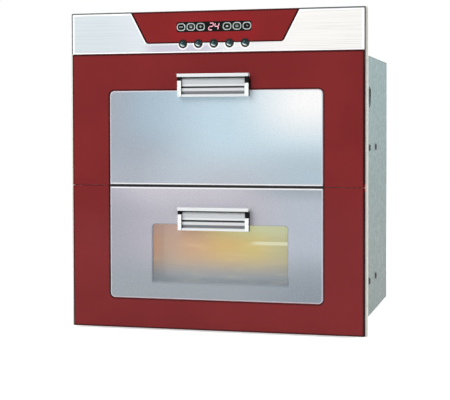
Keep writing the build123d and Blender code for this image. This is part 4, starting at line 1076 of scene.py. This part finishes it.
@dataclass
class Body:
    """Sheet-metal body with its front frame, feet, cord gland and fasteners."""

    screw_inset: float = 9 * MM
    screw_radius: float = 3.4 * MM
    screw_reach: float = 1.8 * MM
    rail_screw_radius: float = 4.5 * MM
    rail_screw_pitch: float = 100 * MM
    grommet_inner: float = 5.2 * MM
    grommet_outer: float = 7.6 * MM
    grommet_rise: float = 1.1 * MM

    def dress(self) -> None:
        """Gives the body's sheets their finishes."""
        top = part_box("side_panel_right")[1].z
        side = GalvanisedSheet("galvanised_side", "80999B", roughness=0.5, metallic=0.3, top=top)
        dress(side, "side_panel_left", "side_panel_right")
        dress(GALVANISED, "top_panel", "base_panel", "rear_panel")
        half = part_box("upper_window_pane")[1].x
        cream = FrontEnamel(
            "cream_baked_enamel", "FBF8EE", roughness=0.35, window_half=half, seam=seam_height()
        )
        dress(cream, "front_frame")
        dress(RUBBER, "feet")
        dress(BLACK_ABS, "cord_gland")
        dress(SHADED_ZINC, "rail_screws")
        dress(GLASS_WOOL, "insulation_board")

    def rear_screws(self) -> None:
        """Adds the domed screws that hold the rear panel."""
        low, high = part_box("rear_panel")
        shape = bmesh.new()
        r, reach = self.screw_radius, self.screw_reach
        dome = [(0.0, reach), (0.5 * r, reach * 0.94), (0.85 * r, reach * 0.6), (r, 0.0), (0.0, 0.0)]
        for x in (low.x + self.screw_inset, (low.x + high.x) / 2, high.x - self.screw_inset):
            for z in (low.z + self.screw_inset, high.z - self.screw_inset):
                made = add_lathed(shape, dome, 16)
                bmesh.ops.translate(shape, verts=made, vec=(x, high.y, z))
        place_piece("rear_screws", shape, ZINC_PLATE, "cabinet")

    def grommets(self) -> None:
        """Adds a rubber grommet in each access hole of the rail screws, its near-black colour painted shade
        of the hole.
        """
        low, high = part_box("rail_screws")
        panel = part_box("side_panel_right")[1].x
        levels = [middle_of(f"{pane.value}_outer_rails").z for pane in Pane]
        first, last = low.y + self.rail_screw_radius, high.y - self.rail_screw_radius
        count = round((last - first) / self.rail_screw_pitch) + 1
        inner, outer, rise = self.grommet_inner, self.grommet_outer, self.grommet_rise
        middle = (inner + outer) / 2
        rim = [(inner, 0.0), (inner, -0.7 * rise), (middle, -rise), (outer, -0.2 * rise), (outer, 0.0)]
        shape = bmesh.new()
        for side in (-1, 1):
            for z in levels:
                for step in range(count):
                    made = add_lathed(shape, [*rim, rim[0]], 24)
                    turn = Matrix.Rotation(math.radians(90 * side), 4, "Z")
                    place = Matrix.Translation((side * panel, first + step * self.rail_screw_pitch, z))
                    bmesh.ops.transform(shape, verts=made, matrix=place @ turn)
        place_piece("access_hole_grommets", shape, GROMMET, "cabinet")

    def build(self) -> None:
        """Dresses the body and adds its small parts."""
        self.dress()
        self.rear_screws()
        self.grommets()


@dataclass
class Chambers:
    """The two stainless chambers and what is fixed in them."""

    guard_bars: int = 7
    guard_inset: float = 4 * MM
    wire_radius: float = 2 * MM

    def heater_guard(self) -> None:
        """Puts round welded wires in place of the plain guard over the heaters."""
        low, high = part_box("heater_guard")
        r = self.wire_radius
        top = high.z - r
        shape = bmesh.new()
        edge = Vector((r, self.guard_inset, 0.0))
        inner_low, inner_high = low + edge, high - edge
        for y in (inner_low.y, (inner_low.y + inner_high.y) / 2, inner_high.y):
            legs = [(inner_low.x, y, low.z), (inner_low.x, y, top)]
            legs += [(inner_high.x, y, top), (inner_high.x, y, low.z)]
            add_wire(shape, legs, r, 3 * r)
        for x in spread(self.guard_bars, inner_low.x, inner_high.x):
            add_wire(shape, [(x, low.y, top), (x, high.y, top)], r, r)
        place_piece("heater_guard_wires", shape, CHROMED_WIRE, "cabinet", ("heater_guard",))

    def build(self) -> None:
        """Dresses the chambers and their fittings."""
        for pane in Pane:
            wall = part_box(f"{pane.value}_outer_rails")[1].x + 0.3 * MM
            steel = ChamberSteel(
                f"brushed_{pane.value}_chamber", "C4C6C8", roughness=0.34, metallic=0.9, half_width=wall
            )
            dress(steel, f"{pane.value}_liner")
        dress(QUARTZ, "uv_lamp")
        dress(MILKY_QUARTZ, "quartz_heaters")
        dress(CERAMIC, "lamp_holders")
        dress(WHITE_ABS, "ozone_generator", "door_sensors")
        dress(BLACK_ABS, "fan_housing", "fan_rotor")
        self.heater_guard()


class Glyph(Enum):
    """Plain shapes inside the display's marks, as bars of (x, z, width, height) shares."""

    STEAM = ((-0.5, 0.1, 0.26, 0.8), (0.0, 0.1, 0.26, 0.8), (0.5, 0.1, 0.26, 0.8))
    CUP = ((0.0, -0.25, 1.0, 0.6), (0.0, 0.45, 1.3, 0.22))
    CROSS = ((0.0, 0.0, 1.2, 0.3), (0.0, 0.0, 0.3, 1.2))
    DROP = ((0.0, 0.0, 0.9, 0.9),)
    PLATES = ((0.0, 0.4, 1.2, 0.22), (0.0, -0.05, 1.2, 0.22), (0.0, -0.5, 1.2, 0.22))
    CLOCK = ((0.0, 0.15, 0.24, 0.7), (0.24, -0.15, 0.6, 0.24))


@dataclass
class ControlStrip:
    """Steel fascia, red control glass, display and five push buttons."""

    mark_pitch: float = 20.2 * MM
    first_mark: float = 27.2 * MM
    mark_size: tuple[float, float] = (17.5 * MM, 15.0 * MM)
    mark_radius: float = 6.2 * MM
    mark_stroke: float = 1.9 * MM
    relief: float = 0.15 * MM
    digit_size: tuple[float, float] = (7.8 * MM, 13.4 * MM)
    digit_pitch: float = 11.4 * MM
    digit_stroke: float = 1.6 * MM
    digit_lean: float = 0.22
    button_pitch: float = 32 * MM
    dome_rise: float = 0.55
    dome_steps: int = 8
    dome_skirt: float = 2 * MM
    glow_drop: float = 6 * MM
    glow_half: tuple[float, float] = (84 * MM, 21 * MM)
    cut_foot: tuple[float, float] = (140.7 * MM, 579.0 * MM)
    cut_slope: float = 0.52

    def dress(self) -> None:
        """Gives the strip's CAD nodes their finishes."""
        display = middle_of("display_window")
        glass_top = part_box("control_glass")[1].z
        glass = BackPaintedGlass(
            "red_control_glass",
            "831F20",
            roughness=0.07,
            specular=0.12,
            glow_box=(display.x, display.z - self.glow_drop, *self.glow_half),
            cut=(*self.cut_foot, self.cut_slope, glass_top),
        )
        dress(glass, "control_glass")
        strip_low, strip_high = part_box("control_fascia")
        bezel_low, bezel_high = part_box("button_bezels")
        fascia = FasciaSteel(
            "brushed_steel_fascia",
            "C6CFD4",
            roughness=0.38,
            metallic=0.3,
            low=strip_low.z,
            high=strip_high.z,
            half_width=strip_high.x,
            cut=(*self.cut_foot, self.cut_slope),
            buttons=(middle_of("button_bezels").z, self.button_pitch, (bezel_high.z - bezel_low.z) / 2),
        )
        dress(fascia, "control_fascia")
        dress(SMOKED, "display_window")
        dress(GLOSS_BLACK, "button_bezels")
        dress(BLACK_ABS, "control_carrier")
        dress(CIRCUIT, "control_board", "power_board")
        dress(GALVANISED, "control_box")

    def marks(self) -> None:
        """Adds the six rounded marks of the display, each with a plain glyph in it."""
        front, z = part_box("display_window")[0].y, middle_of("display_window").z
        places = [self.first_mark + step * self.mark_pitch for step in range(3)]
        xs = [-x for x in reversed(places)] + places
        for number, (x, glyph) in enumerate(zip(xs, Glyph), start=1):
            shape = bmesh.new()
            add_plate(shape, self.mark_size, self.mark_radius, 2 * self.relief, self.mark_stroke)
            width = self.mark_size[0] / 2 - 2 * self.mark_stroke
            height = self.mark_size[1] / 2 - 2 * self.mark_stroke
            for bar_x, bar_z, bar_width, bar_height in glyph.value:
                size = (bar_width * width, bar_height * height)
                made = add_plate(shape, size, 0.3 * min(size), 2 * self.relief)
                bmesh.ops.translate(shape, verts=made, vec=(bar_x * width, 0.0, bar_z * height))
            bmesh.ops.translate(shape, verts=shape.verts[:], vec=(x, front - self.relief, z))
            place_piece(f"display_mark_{number}", shape, MARK_LIGHT, "cabinet")

    def digits(self) -> None:
        """Adds the two leaning seven-segment digits of the timer, a plain 24."""
        width, height = self.digit_size
        across, up = width / 2, height / 2
        segments = {
            "top": (0.0, up, True),
            "middle": (0.0, 0.0, True),
            "foot": (0.0, -up, True),
            "upper_left": (-across, up / 2, False),
            "upper_right": (across, up / 2, False),
            "lower_left": (-across, -up / 2, False),
            "lower_right": (across, -up / 2, False),
        }
        shown = (
            ("top", "upper_right", "middle", "lower_left", "foot"),
            ("upper_left", "upper_right", "middle", "lower_right"),
        )
        shape = bmesh.new()
        for side, lit in zip((-0.5, 0.5), shown):
            for name in lit:
                x, z, level = segments[name]
                length = (width if level else height / 2) - 0.6 * self.digit_stroke
                size = (length, self.digit_stroke) if level else (self.digit_stroke, length)
                made = add_plate(shape, size, 0.45 * self.digit_stroke, 2 * self.relief)
                bmesh.ops.translate(shape, verts=made, vec=(x + side * self.digit_pitch, 0.0, z))
        lean = Matrix.Identity(4)
        lean[0][2] = self.digit_lean
        middle = middle_of("display_window")
        middle.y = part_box("display_window")[0].y - self.relief
        bmesh.ops.transform(shape, verts=shape.verts[:], matrix=Matrix.Translation(middle) @ lean)
        place_piece("display_digits", shape, DIGIT_LIGHT, "cabinet")

    def buttons(self) -> None:
        """Puts a smooth chrome dome on a stem in place of each plain button cap."""
        for number in range(1, 6):
            low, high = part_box(f"button_{number}")
            x, _, z = middle_of(f"button_{number}")
            r = (high.x - low.x) / 2
            rise = self.dome_rise * r
            arc = [math.radians(90 * step / self.dome_steps) for step in range(self.dome_steps + 1)]
            outline = [(r * math.sin(angle), rise * (1 - math.cos(angle))) for angle in arc]
            outline += [(r, rise + self.dome_skirt), (0.5 * r, rise + self.dome_skirt)]
            outline += [(0.5 * r, high.y - low.y), (0.0, high.y - low.y)]
            shape = bmesh.new()
            add_lathed(shape, outline, 40)
            bmesh.ops.translate(shape, verts=shape.verts[:], vec=(x, low.y, z))
            place_piece(
                f"button_dome_{number}",
                shape,
                DOME_CHROME,
                f"button_cap_{number}",
                (f"button_{number}",),
            )

    def build(self) -> None:
        """Dresses the strip and adds the marks, digits and domes."""
        self.dress()
        self.marks()
        self.digits()
        self.buttons()


@dataclass
class DrawerFront:
    """Glass front of one drawer with its window, frame, seal and handle."""

    pane: Pane
    window_radius: float = 10 * MM
    zone_shift: tuple[float, float] = (10.4 * MM, 4.0 * MM)

    def outline(self, lowest: str, highest: str, radius: float) -> Outline:
        """Outline from one node's lowest corner to another's highest.

        Args:
            lowest: node whose lowest corner it starts from.
            highest: node whose highest corner it ends at.
            radius: radius of its corners.

        Returns:
            X and Z of its middle, half its width, half its height and the radius.
        """
        low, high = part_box(lowest)[0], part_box(highest)[1]
        middle, half = (low + high) / 2, (high - low) / 2
        return (middle.x, middle.z, half.x, half.z, radius)

    def glass(self) -> None:
        """Gives the red glass its enamel, with a line along the window and the edges, and a painted shadow
        line round the handle.
        """
        name = self.pane.value
        window = self.outline("lower_window_pane", "upper_window_pane", self.window_radius)
        edge = self.outline("lower_glass_surround", "upper_glass_surround", 1 * MM)
        # the line round the handle posts is painted shadow
        handle = self.outline(f"{name}_handle_posts", f"{name}_handle_posts", 1 * MM)
        red = BackPaintedGlass(
            f"red_back_painted_{name}_glass",
            "7B2123",
            roughness=0.07,
            specular=0.12,
            outlines=(window, edge, handle),
        )
        dress(red, f"{name}_glass_surround")
        frame_abs = DoorFrame("black_door_frame", "060607", window_half=window[2], seam=seam_height())
        dress(frame_abs, f"{name}_door_frame")

    def window(self) -> None:
        """Gives the frosted pane, and the amber window behind the lower one, their finishes."""
        low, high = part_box(f"{self.pane.value}_window_pane")
        sizes = {"low": low.z, "high": high.z, "half_width": (high.x - low.x) / 2, "seam": seam_height()}
        sizes["window"] = self.outline("lower_window_pane", "upper_window_pane", self.window_radius)
        colour = "A6AFBB"
        if self.pane is Pane.LOWER:
            colour = "ACACB8"
            x, z, half_x, half_z, _ = self.outline("inner_window", "inner_window", 0.0)
            sizes["zone"] = (x + self.zone_shift[0], z + self.zone_shift[1], half_x, half_z)
            span = {"half_width": half_x, "low": z - half_z, "high": z + half_z}
            # the amber glass glows with painted lamp light
            amber = AmberGlass("amber_inner_glass", "BC8450", roughness=0.15, glow=0.75, **span)
            dress(amber, "inner_window")
        name = f"{self.pane.value}_etched_glass"
        frost = FrostedPane(name, colour, roughness=0.3, specular=0.08, pane=self.pane, **sizes)
        dress(frost, f"{self.pane.value}_window_pane")

    def build(self) -> None:
        """Dresses the front."""
        name = self.pane.value
        self.glass()
        self.window()
        dress(BLACK_INSERT, f"{name}_handle_inserts")
        dress(STAINLESS, f"{name}_door_liner")
        dress(SILICONE, f"{name}_door_seal")
        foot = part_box(f"{name}_handle")[0].z
        ribs = LouvreAluminium(
            f"satin_anodised_{name}_handle", "DDE0E1", roughness=0.34, metallic=0.3, share=0.15, foot=foot
        )
        dress(ribs, f"{name}_handle")
        dress(SILVER_CAST, f"{name}_handle_posts")


@dataclass
class DrawerInside:
    """Rails and wire goods behind one front."""

    pane: Pane
    length: float = 346 * MM
    wire: float = 2 * MM
    thin_wire: float = 1.5 * MM
    rim: float = 2.5 * MM
    bend: float = 9 * MM
    corner: float = 12 * MM
    carrier: tuple[float, float] = (2 * MM, 24 * MM)
    bracket_width: float = 46 * MM
    cross_wires: int = 15
    long_wires: int = 21
    rack_loops: int = 8
    rack_places: tuple[float, float] = (60 * MM, 190 * MM)
    loop_shape: tuple[float, float, float] = (60 * MM, 30 * MM, 62 * MM)

    def basket(self) -> None:
        """Puts round welded wires, flat carriers and brackets in place of the plain basket."""
        name = self.pane.value
        low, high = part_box(f"{name}_basket")
        rail_z = middle_of(f"{name}_outer_rails").z
        thick, tall = self.carrier
        rear, front = high.y, high.y - self.length
        leg = high.x - thick - self.wire
        floor, rim_z = low.z + self.wire, high.z - self.rim
        shape = bmesh.new()
        x, inset = leg + self.wire - self.rim, self.rim
        ring = [(0.0, front + inset, rim_z), (x, front + inset, rim_z), (x, rear - inset, rim_z)]
        ring += [(-x, rear - inset, rim_z), (-x, front + inset, rim_z), (0.0, front + inset, rim_z)]
        add_wire(shape, ring, self.rim, self.corner)
        for number, y in enumerate(spread(self.cross_wires, front + self.corner, rear - self.corner)):
            radius = self.wire if number % 3 == 1 else self.thin_wire
            legs = [(-leg, y, rim_z), (-leg, y, floor), (leg, y, floor), (leg, y, rim_z)]
            add_wire(shape, legs, radius, self.bend)
        floor += 2 * self.wire - 0.5 * MM
        for number, x in enumerate(spread(self.long_wires, self.corner - leg, leg - self.corner)):
            radius = self.wire if number % 3 == 1 else self.thin_wire
            ends = (front + self.wire, rear - self.wire)
            legs = [(x, ends[0], rim_z), (x, ends[0], floor), (x, ends[1], floor), (x, ends[1], rim_z)]
            add_wire(shape, legs, radius, self.bend)
        for side in (-1, 1):
            inner, outer = sorted((side * (high.x - thick), side * high.x))
            start, end = Vector((inner, low.y, rail_z - tall / 2)), Vector((outer, rear, rail_z + tall / 2))
            add_block(shape, start, end, 0.4 * MM)
            inner, outer = sorted((side * (high.x - self.bracket_width), side * high.x))
            start, end = Vector((inner, low.y, rail_z - tall / 2)), Vector((outer, low.y + thick, high.z))
            add_block(shape, start, end, 0.4 * MM)
            x = side * (leg - self.corner)
            start = Vector((x - thick / 2, low.y, rim_z - self.rim))
            add_block(shape, start, Vector((x + thick / 2, front + self.rim, rim_z + self.rim)), 0.3 * MM)
        basket = f"{name}_basket"
        place_piece(f"{basket}_wires", shape, CHROMED_WIRE, f"{name}_drawer", (basket,))

    def plate_racks(self) -> None:
        """Puts round bent wires in place of the two plain plate racks."""
        low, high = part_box("plate_racks")
        r = self.wire
        near, far = self.rack_places
        foot_width, top_width, height = self.loop_shape
        foot = low.z + r
        rail = foot + 2 * r - 0.5 * MM
        shape = bmesh.new()
        for side in (-1, 1):
            for x in (near, far):
                add_wire(shape, [(side * x, low.y, rail), (side * x, high.y, rail)], r, r)
            middle = side * (near + far) / 2
            for y in spread(self.rack_loops, low.y, high.y):
                ends = sorted((side * (near - 2 * r), side * (far + 2 * r)))
                add_wire(shape, [(ends[0], y, foot), (ends[1], y, foot)], r, r)
                loop = [(middle - foot_width / 2, y, foot), (middle - top_width / 2, y, foot + height)]
                loop += [(middle + top_width / 2, y, foot + height), (middle + foot_width / 2, y, foot)]
                add_wire(shape, loop, r, self.bend)
        place_piece("plate_rack_wires", shape, CHROMED_WIRE, "lower_drawer", ("plate_racks",))

    def build(self) -> None:
        """Dresses the rails, the basket and what stands in it."""
        name = self.pane.value
        dress(ZINC_RAIL, f"{name}_outer_rails", f"{name}_mid_rails", f"{name}_inner_rails")
        self.basket()
        if self.pane is Pane.UPPER:
            dress(STAINLESS, "cutlery_tray")
        else:
            self.plate_racks()


@dataclass
class Studio:
    """White floor, soft lamps, white surroundings and the camera of the photograph."""

    floor_half: float = 6.0
    floor_glow: float = 0.62
    ambient: float = 0.52
    key_lamp: tuple[float, float, float] = (-1.7, -2.4, 2.3)
    key_size: float = 2.2
    key_power: float = 58.0
    side_lamp: tuple[float, float, float] = (2.6, -0.4, 1.4)
    side_size: float = 1.6
    side_power: float = 38.0
    lamp_target: tuple[float, float, float] = (0.0, 0.0, 0.32)
    camera_place: tuple[float, float, float] = (0.622, -2.564, 0.4133)
    camera_turn: float = 14.51
    camera_pitch: float = 1.5
    camera_roll: float = -0.127
    camera_lens: float = 96.4
    camera_shift: float = -0.0946

    @staticmethod
    def rays(tree: NodeTree, *kinds: str) -> NodeSocket:
        """Returns a socket that is 1 for the named kinds of ray and 0 for all others."""
        paths = add_node(tree, "LightPath", {}).outputs
        seen = paths[kinds[0]]
        for kind in kinds[1:]:
            seen = add_node(tree, "Math", {"operation": "MAXIMUM", 0: seen, 1: paths[kind]}).outputs[0]
        return seen

    def floor(self) -> None:
        """Adds the floor, white to the camera and in gloss, which keeps the object's shadow."""
        shape = bmesh.new()
        bmesh.ops.create_grid(shape, x_segments=1, y_segments=1, size=self.floor_half)
        mesh = bpy.data.meshes.new("studio_floor")
        shape.to_mesh(mesh)
        shape.free()
        material = bpy.data.materials.new("white_floor")
        material.use_nodes = True
        tree = material.node_tree
        tree.nodes.clear()
        seen = self.rays(tree, "Is Camera Ray", "Is Glossy Ray")
        glow = add_node(tree, "Math", {"operation": "MULTIPLY", 0: seen, 1: self.floor_glow})
        paper = add_node(tree, "BsdfDiffuse", {"Color": srgb("F4F4F4")})
        shine = add_node(tree, "Emission", {"Color": srgb("FFFFFF"), "Strength": glow.outputs[0]})
        both = add_node(tree, "AddShader", {0: paper.outputs[0], 1: shine.outputs[0]})
        add_node(tree, "OutputMaterial", {"Surface": both.outputs[0]})
        mesh.materials.append(material)
        floor = bpy.data.objects.new("studio_floor", mesh)
        bpy.context.scene.collection.objects.link(floor)

    def world(self) -> None:
        """Makes the surroundings white to the camera and in gloss, and softer as light."""
        world = bpy.data.worlds.new("studio_world")
        bpy.context.scene.world = world
        world.use_nodes = True
        tree = world.node_tree
        tree.nodes.clear()
        seen = self.rays(tree, "Is Camera Ray", "Is Glossy Ray", "Is Transmission Ray")
        soft = add_node(tree, "Background", {"Color": srgb("FFFFFF"), "Strength": self.ambient})
        white = add_node(tree, "Background", {"Color": srgb("FFFFFF"), "Strength": 1.0})
        mix = add_node(tree, "MixShader", {0: seen, 1: soft.outputs[0], 2: white.outputs[0]})
        add_node(tree, "OutputWorld", {"Surface": mix.outputs[0]})

    def lamp(self, name: str, place: tuple[float, float, float], size: float, power: float) -> None:
        """Adds a square soft box that faces the middle of the object.

        Args:
            name: name of the lamp.
            place: where it stands.
            size: side of its window.
            power: its power in watts.
        """
        light = bpy.data.lights.new(name, "AREA")
        light.energy = power
        light.size = size
        lamp = bpy.data.objects.new(name, light)
        lamp.location = place
        aim = Vector(self.lamp_target) - Vector(place)
        lamp.rotation_euler = aim.to_track_quat("-Z", "Y").to_euler()
        bpy.context.scene.collection.objects.link(lamp)

    def camera(self) -> None:
        """Adds the camera at the photograph's viewing angle."""
        data = bpy.data.cameras.new("photo_camera")
        data.lens = self.camera_lens
        data.shift_y = self.camera_shift
        turn, pitch = math.radians(self.camera_turn), math.radians(self.camera_pitch)
        aim = Vector((-math.sin(turn) * math.cos(pitch), math.cos(turn) * math.cos(pitch), -math.sin(pitch)))
        roll = Matrix.Rotation(math.radians(self.camera_roll), 4, "Z")
        camera = bpy.data.objects.new("photo_camera", data)
        camera.matrix_world = (
            Matrix.Translation(self.camera_place) @ aim.to_track_quat("-Z", "Y").to_matrix().to_4x4() @ roll
        )
        bpy.context.scene.collection.objects.link(camera)
        bpy.context.scene.camera = camera

    def build(self) -> None:
        """Sets up the whole studio."""
        self.floor()
        self.world()
        self.lamp("key_lamp", self.key_lamp, self.key_size, self.key_power)
        self.lamp("side_lamp", self.side_lamp, self.side_size, self.side_power)
        self.camera()
        bpy.context.scene.view_settings.view_transform = "Standard"


def main() -> None:
    """Builds the sub-assemblies in order."""
    logging.basicConfig(level=logging.INFO, format="%(name)s: %(message)s")
    for part in (
        Body(),
        Chambers(),
        ControlStrip(),
        DrawerFront(Pane.UPPER),
        DrawerFront(Pane.LOWER),
        DrawerInside(Pane.UPPER),
        DrawerInside(Pane.LOWER),
        Studio(),
    ):
        part.build()


if __name__ == "__main__":
    main()
